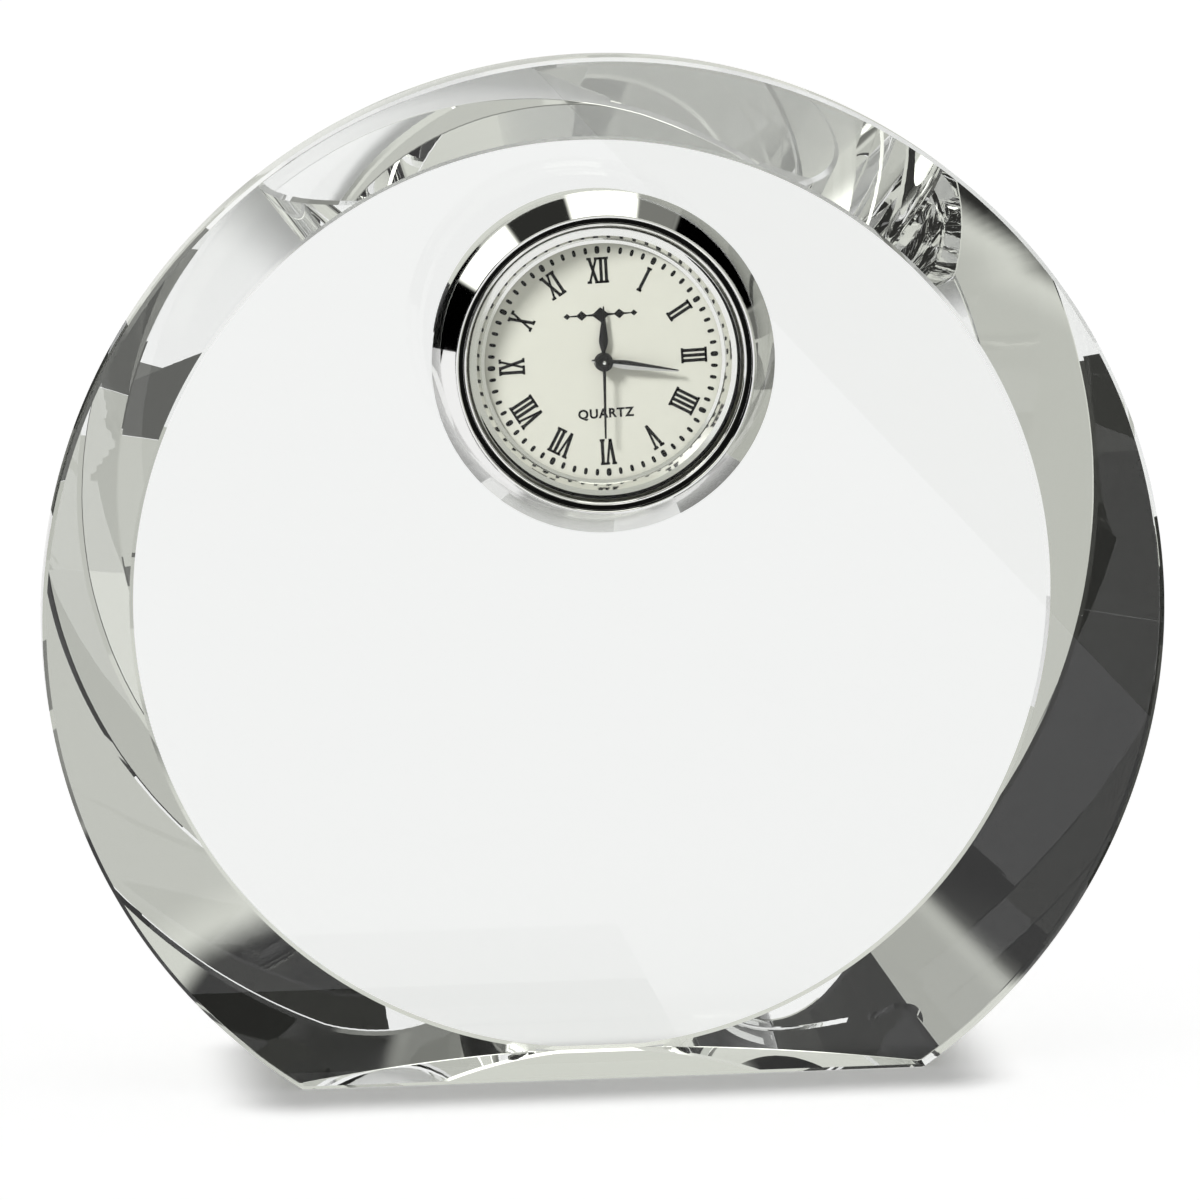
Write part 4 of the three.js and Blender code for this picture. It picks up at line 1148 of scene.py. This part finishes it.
@dataclass
class Case:
    """Case tube, grip ring, back cover and setting knob."""

    place: Place
    radius: float = 16.6
    bore: float = 15.9
    back: float = -10.0
    seat: float = -3.9
    lip: Pair = (15.2, 15.6)
    grip: Pair = (-9.6, -2.3)
    grip_radius: float = 17.1
    knob_at: Pair = tuple(5.3932 * f(math.radians(310)) for f in (math.cos, math.sin))
    knob_radius: float = 2.2
    knob_back: float = -11.7
    knob_front: float = -9.5
    flutes: int = 12

    def tube_profile(self) -> Array:
        """The case's wall with its inner shoulder and a rounded back edge."""
        edge = arc((self.radius - 0.2, self.back + 0.2), (0.2, 0.2), -90, 0, 5)
        inside = [
            [self.radius, 0.0],
            [self.bore, 0.0],
            [self.bore, self.seat],
            [15.0, self.seat],
            [15.0, self.seat - 0.6],
            [self.bore, self.seat - 0.6],
            [self.bore, self.back],
        ]
        return joined(edge, inside)

    def grip_profile(self) -> Array:
        """A rubber sleeve whose outside swells in three ribs, as a raised cosine along its depth."""
        low, high = self.grip
        level = np.linspace(low, high, 49)
        wave = 0.5 - 0.5 * np.cos(2 * np.pi * 3 * (level - low) / (high - low))
        outside = np.stack([self.grip_radius + 0.19 * wave, level], axis=-1)
        inside = self.grip_radius - 0.2
        return joined([[inside, low]], outside, [[inside, high]])

    def cover_profile(self) -> Array:
        """The snap cover: a disc with a rounded back edge, two shallow rings and a lip."""
        low, high = -11.0, -10.3
        edge = arc((self.radius - 0.25, low + 0.25), (0.25, 0.25), -90, 0, 6)
        rings = [[0.0, low], [12.2, low], [12.3, low + 0.12], [12.9, low + 0.12], [13.0, low]]
        wall, tip = self.lip, high + 1.3
        lip = [[wall[1], high], [wall[1], tip], [wall[0], tip], [wall[0], high], [0.0, high]]
        return joined(rings, edge, [[self.radius, high]], lip)

    def knob_grid(self) -> Array:
        """A fluted knob: its radius dips by a raised cosine twelve times round.

        Returns:
            Rows from the middle of its back, over its side, to the middle of its front.
        """
        a = np.linspace(0, 2 * np.pi, 12 * self.flutes, endpoint=False)[None, :]
        dip = 0.16 * (0.5 + 0.5 * np.cos(self.flutes * a)) ** 2
        r, low, high = self.knob_radius, self.knob_back, self.knob_front
        back = [[0, low + 0.12, 0], [r - 0.9, low + 0.08, 0], [r - 0.7, low, 0], [r - 0.2, low, 0]]
        side = [[r, low + 0.2, 1], [r, high - 0.1, 1], [r - 0.1, high, 1], [0, high, 0]]
        profile = joined(back, side)
        radius = profile[:, :1] - dip * profile[:, 2:]
        x = self.knob_at[0] + radius * np.cos(a)
        y = self.knob_at[1] + radius * np.sin(a)
        return np.stack([x, y, profile[:, 1:2] + 0 * a], axis=-1)

    def build(self, wardrobe: Wardrobe) -> None:
        """Makes the pieces."""
        for part in (
            Turned("case_tube", self.tube_profile(), "steel", "steel", ("insert_case",)),
            Turned("grip_sleeve", self.grip_profile(), "rubber", "rubber", ("grip_ring",)),
        ):
            part.build(self.place, wardrobe)
        cover = self.build_cover(wardrobe)
        settle(cover, "insert", "black_plastic", "back_cover")
        surface = Surface().add_grid(self.knob_grid())
        knob = surface.build("fluted_knob", self.place, wardrobe["white_plastic"], sharp=35)
        settle(knob, "setting", "white_plastic", "setting_knob")

    def build_cover(self, wardrobe: Wardrobe) -> Piece:
        """The cover, bored for the knob and notched at its foot.

        Returns:
            The piece, cut by two cutters that are then removed.
        """
        surface = Surface().add_grid(turned(self.cover_profile()))
        cover = surface.build("snap_cover", self.place, wardrobe["black_plastic"])
        r = self.knob_radius + 0.4
        a = np.linspace(0, 2 * np.pi, 48, endpoint=False)
        hole = np.stack([self.knob_at[0] + r * np.cos(a), self.knob_at[1] + r * np.sin(a)], axis=-1)
        edge = -self.radius
        notch = np.array([(-2.0, edge - 1), (2.0, edge - 1), (2.0, edge + 0.7), (-2.0, edge + 0.7)])
        for outline, low, high in ((hole, -12.0, -9.9), (notch, -12.0, -10.3)):
            cutter = prisms(outline[None], low, high).build("cutter", self.place, wardrobe["black_plastic"])
            cut = cover.modifiers.new("cut", "BOOLEAN")
            cut.object, cut.operation, cut.solver = cutter, "DIFFERENCE", "EXACT"
            done = evaluated_mesh(cover)
            cover.modifiers.clear()
            cover.data = done
            bpy.data.objects.remove(cutter)
        cover.data.set_sharp_from_angle(angle=math.radians(25))
        return cover


# ---- The movement ----


def dress_movement(wardrobe: Wardrobe) -> None:
    """Gives every CAD node the finish of its slot; the hidden ones keep theirs unseen."""
    slots = {part["node"]: part["material_slot"] for part in frame["record"]["subparts"]}
    for name, node in frame["nodes"].items():
        slot = slots[name]
        node.data.materials.clear()
        node.data.materials.append(wardrobe[slot])
        LOG.info("%s is finished in %s", name, slot)


# ---- The studio ----


class Around(Enum):
    """The axis that a zone's two angles are counted round."""

    UP = "azimuth and elevation"
    FRONT = "clock angle and tilt from the front"


@dataclass(frozen=True)
class Zone:
    """A patch of the studio that polished surfaces see darker or lighter than the rest.

    Attributes:
        around: UP for azimuth, 0 in front and 90 to the right, and elevation above the floor;
            FRONT for clock angle, 0 at twelve and 90 at three, and tilt away from the front.
        middle: its two middle angles, in degrees.
        half: half its width and half its height, in degrees.
        value: its brightness.
        soft: how far its edge fades, in degrees.
        metal_only: whether light turned more than twice in glass misses it.
    """

    around: Around
    middle: Pair
    half: Pair
    value: float
    soft: float = 3.0
    metal_only: bool = False


@dataclass(frozen=True)
class Card:
    """A dark card that lies on the floor and shows only in glass and metal.

    Attributes:
        name: its name.
        x: its left and right edges, in millimetres.
        y: its front and back edges, in millimetres.
        value: its grey.
    """

    name: str
    x: Pair
    y: Pair
    value: float


ZONES: tuple[Zone, ...] = (
    Zone(Around.FRONT, (-72, 92), (25, 60), 0.0, 1.5),
    Zone(Around.FRONT, (-40, 118), (7, 16), 0.42, 3),
    Zone(Around.FRONT, (-48, 92), (14, 33), 2.0, 1.5, metal_only=True),
    Zone(Around.FRONT, (-21, 95), (13, 30), 0.03, 1.5, metal_only=True),
    Zone(Around.FRONT, (6, 92), (14, 32), 2.0, 1.5),
    Zone(Around.FRONT, (28, 95), (8, 23), 0.22, 1),
    Zone(Around.FRONT, (58, 96), (22, 24), 0.0, 1.5),
    Zone(Around.FRONT, (40.5, 124), (12, 13), 0.01, 1.5),
    Zone(Around.FRONT, (95, 95), (15, 23), 0.16, 1),
    Zone(Around.UP, (0, 42), (14, 12), 0.2),
    Zone(Around.UP, (22.5, 5), (30, 16), 0.58, 1),
    Zone(Around.UP, (-24.8, 5), (16, 14), 0.0, 0.8),
)

CARDS: tuple[Card, ...] = (
    Card("left_card", (-11500, -110), (20, 11500), 0.0),
    Card("left_near_card", (-110, -62), (8, 90), 0.02),
    Card("front_card", (-45, 9), (-65, -20), 0.28),
    Card("right_near_card", (40, 92), (20, 240), 0.1),
    Card("right_edge_card", (67, 92), (-5, 20), 0.15),
    Card("right_card", (92, 11500), (-11500, 11500), 0.6),
    Card("right_side_card", (250, 3000), (-80, 420), 0.14),
)


@dataclass
class Studio:
    """Pale floor with a painted shadow round the clock's foot, soft light all round, cards for the glass to
    mirror, a key lamp and the camera.
    """

    centre: Vector
    foot: Vector
    light: float = 0.42
    polished: float = 0.75
    glow: float = 0.645
    # under is the painted shade under the clock's foot; shade and spread give the depth and width of the
    # painted shadow round it
    under: float = 0.2
    shade: float = 0.85
    spread: float = 12.0

    def flat(self, name: str, x: Pair, y: Pair, level: float, material: Material) -> Piece:
        """A rectangle that faces up."""
        corners = [(x[0], y[0], level), (x[1], y[0], level), (x[1], y[1], level), (x[0], y[1], level)]
        mesh = bpy.data.meshes.new(name)
        mesh.from_pydata((np.array(corners) * MM).tolist(), [], [(0, 1, 2, 3)])
        mesh.materials.append(material)
        piece = add_object(name, mesh)
        return piece

    def floor(self) -> None:
        """A wide floor with a soft glow of its own, dimmer in a band round the foot of the clock as a painted
        contact shadow, and dimmer still under the foot as painted shade.
        """
        material, nodes, shader = new_material("pale_floor")
        where = nodes.add("ShaderNodeTexCoord").outputs["Object"]
        noise = nodes.step("ShaderNodeTexNoise", (), Vector=where, Scale=40.0)
        x, y, _ = nodes.add("ShaderNodeSeparateXYZ", Vector=where).outputs
        # painted shadow: the glow falls towards its low end in a band round the foot, shifted forwards
        forward = self.spread * MM * 0.35
        fade = nodes.add("ShaderNodeMapRange", interpolation_type="SMOOTHERSTEP", From_Max=self.spread * MM)
        apart = self.distance(nodes, x, nodes.math("ADD", y, forward))
        nodes.put(fade, Value=apart, To_Min=self.glow * (1 - self.shade), To_Max=self.glow)
        # painted shade: inside the foot the glow is only under
        inside = nodes.math("LESS_THAN", self.distance(nodes, x, y), 0.05 * MM)
        glow = nodes.mix(inside, fade.outputs["Result"], self.under, "FLOAT")
        colour = nodes.mix(noise, (0.9, 0.9, 0.9, 1), (0.92, 0.92, 0.92, 1))
        nodes.put(shader, Base_Color=colour, Roughness=0.7, Specular_IOR_Level=0.0)
        nodes.put(shader, Emission_Color=(1, 1, 1, 1), Emission_Strength=glow)
        self.flat("floor", (-FAR, FAR), (-FAR, FAR), -0.02, material)

    def distance(self, nodes: Nodes, x: Socket, y: Socket) -> Socket:
        """How far a point lies outside the foot of the clock, in metres."""
        squares = []
        for socket, half in ((x, self.foot.x), (y, self.foot.y)):
            outside = nodes.math("MAXIMUM", nodes.math("SUBTRACT", nodes.math("ABSOLUTE", socket), half), 0.0)
            squares.append(nodes.math("MULTIPLY", outside, outside))
        return nodes.math("SQRT", nodes.math("ADD", *squares))

    def put_cards(self) -> None:
        """Lays the cards out; only mirrored and refracted rays meet them."""
        for index, card in enumerate(CARDS):
            material, nodes, shader = new_material(card.name)
            nodes.put(shader, Base_Color=(0, 0, 0, 1), Specular_IOR_Level=0.0)
            nodes.put(shader, Emission_Color=MIRRORED_TINT, Emission_Strength=card.value)
            clear = nodes.add("ShaderNodeBsdfTransparent").outputs["BSDF"]
            nodes.surface(self.mirrored(nodes), clear, shader.outputs["BSDF"])
            piece = self.flat(card.name, card.x, card.y, 0.2 + 0.05 * index, material)
            piece.visible_camera = piece.visible_diffuse = piece.visible_shadow = False

    def zone_mask(self, nodes: Nodes, zone: Zone, angles: dict[Around, tuple]) -> Socket:
        """How far a direction lies inside a zone, from 0 to 1."""
        masks = []
        for angle, middle, half in zip(angles[zone.around], zone.middle, zone.half):
            apart = nodes.math("SUBTRACT", angle, math.radians(middle))
            turn = nodes.math("ABSOLUTE", nodes.math("WRAP", apart, -math.pi, math.pi))
            fade = nodes.add("ShaderNodeMapRange", interpolation_type="SMOOTHSTEP", Value=turn)
            outer, inner = math.radians(half + zone.soft), math.radians(max(0.0, half - zone.soft))
            masks.append(nodes.put(fade, From_Min=outer, From_Max=inner).outputs["Result"])
        return nodes.math("MULTIPLY", *masks)

    def mirrored(self, nodes: Nodes) -> Socket:
        """1 for light mirrored by metal or glass, or turned more than twice in glass, and 0 for the rest."""
        path = nodes.add("ShaderNodeLightPath").outputs
        turned_often = nodes.math("GREATER_THAN", path["Ray Depth"], FEW_TURNS)
        either = nodes.math("MAXIMUM", path["Is Reflection Ray"], turned_often)
        return nodes.math("MULTIPLY", either, path["Is Glossy Ray"])

    def world(self) -> None:
        """Even light for the floor and the dial, and patches for glass and metal to mirror."""
        world = bpy.data.worlds.new("studio_light")
        world.use_nodes = True
        bpy.context.scene.world = world
        nodes = Nodes(world.node_tree)
        way = nodes.add("ShaderNodeTexCoord").outputs["Generated"]
        x, y, z = nodes.add("ShaderNodeSeparateXYZ", Vector=way).outputs
        front = nodes.math("MULTIPLY", y, -1.0)
        angles = {
            Around.UP: (nodes.math("ARCTAN2", x, front), nodes.math("ARCSINE", z)),
            Around.FRONT: (nodes.math("ARCTAN2", x, z), nodes.math("ARCCOSINE", front)),
        }
        level = self.polished
        path = nodes.add("ShaderNodeLightPath").outputs
        turned_little = nodes.math("LESS_THAN", path["Ray Depth"], FEW_TURNS)
        for zone in ZONES:
            mask = self.zone_mask(nodes, zone, angles)
            if zone.metal_only:
                mask = nodes.math("MULTIPLY", mask, turned_little)
            level = nodes.mix(mask, level, zone.value, "FLOAT")
        straight = nodes.math("MAXIMUM", path["Is Camera Ray"], path["Is Transmission Ray"])
        plain = nodes.mix(straight, self.light, 1.0, "FLOAT")
        mirrored = self.mirrored(nodes)
        colour = nodes.mix(mirrored, (1, 1, 1, 1), MIRRORED_TINT)
        strength = nodes.mix(mirrored, plain, level, "FLOAT")
        nodes.put(world.node_tree.nodes["Background"], Color=colour, Strength=strength)

    def lamp(self) -> None:
        """A soft key lamp from the upper left front, for the hands' shadows, which lights the dial only."""
        data = bpy.data.lights.new("key_lamp", "AREA")
        data.shape, data.size, data.energy = "DISK", 0.2, 9.0
        lamp = add_object("key_lamp", data)
        away = Vector((-0.58, -0.54, 0.61)).normalized()
        lamp.location = self.centre + away * 0.9
        lamp.rotation_mode = "QUATERNION"
        lamp.rotation_quaternion = away.to_track_quat("Z", "Y")
        lit = bpy.data.collections.new("key_lamp_lights")
        for name in ("dial_plate", "dial_numerals", "minute_track", "dial_ornament", "dial_word"):
            lit.objects.link(bpy.data.objects[name])
        lamp.light_linking.receiver_collection = lit

    def camera(self) -> None:
        """A long lens a metre away, a little left and above."""
        data = bpy.data.cameras.new("camera")
        data.lens, data.sensor_width = 278.6, 36.0
        azimuth, elevation, roll = (math.radians(v) for v in (-5.6, 9.0, -0.95))
        level = math.cos(elevation)
        back = Vector((math.sin(azimuth) * level, -math.cos(azimuth) * level, math.sin(elevation)))
        turn = back.to_track_quat("Z", "Y").to_matrix().to_4x4() @ Matrix.Rotation(roll, 4, "Z")
        aim = self.centre + Vector((0.5, 0.0, 0.2)) * MM
        camera = add_object("camera", data)
        camera.matrix_world = Matrix.Translation(aim + back) @ turn
        bpy.context.scene.camera = camera

    def build(self) -> None:
        """Sets the studio up."""
        bpy.context.scene.view_settings.view_transform = "Standard"
        bounces = bpy.context.scene.cycles
        bounces.max_bounces = bounces.transmission_bounces = bounces.glossy_bounces = 24
        self.camera()
        self.floor()
        self.put_cards()
        self.world()
        self.lamp()


def main() -> None:
    """Builds the clock and its studio."""
    logging.basicConfig(level=logging.INFO, format="%(name)s: %(message)s")
    glass_place, insert_place = place_of_glass(), place_of_insert()
    effects = Effects()
    axis = (insert_place.middle[0], 0.0, insert_place.middle[1])
    wardrobe = Wardrobe(effects, axis)
    low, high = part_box("crystal_block")
    foot = Vector((0.5 * math.sqrt((high.x - low.x) ** 2 - 4 * glass_place.middle[1] ** 2), high.y, 0.0))
    GlassBlock(glass_place).build(wardrobe)
    Front(insert_place).build(wardrobe)
    DialFace(insert_place).build(wardrobe)
    Hands(insert_place).build(wardrobe)
    Case(insert_place).build(wardrobe)
    dress_movement(wardrobe)
    Studio(Vector((0.0, 0.0, glass_place.middle[1])), foot).build()


if __name__ == "__main__":
    main()
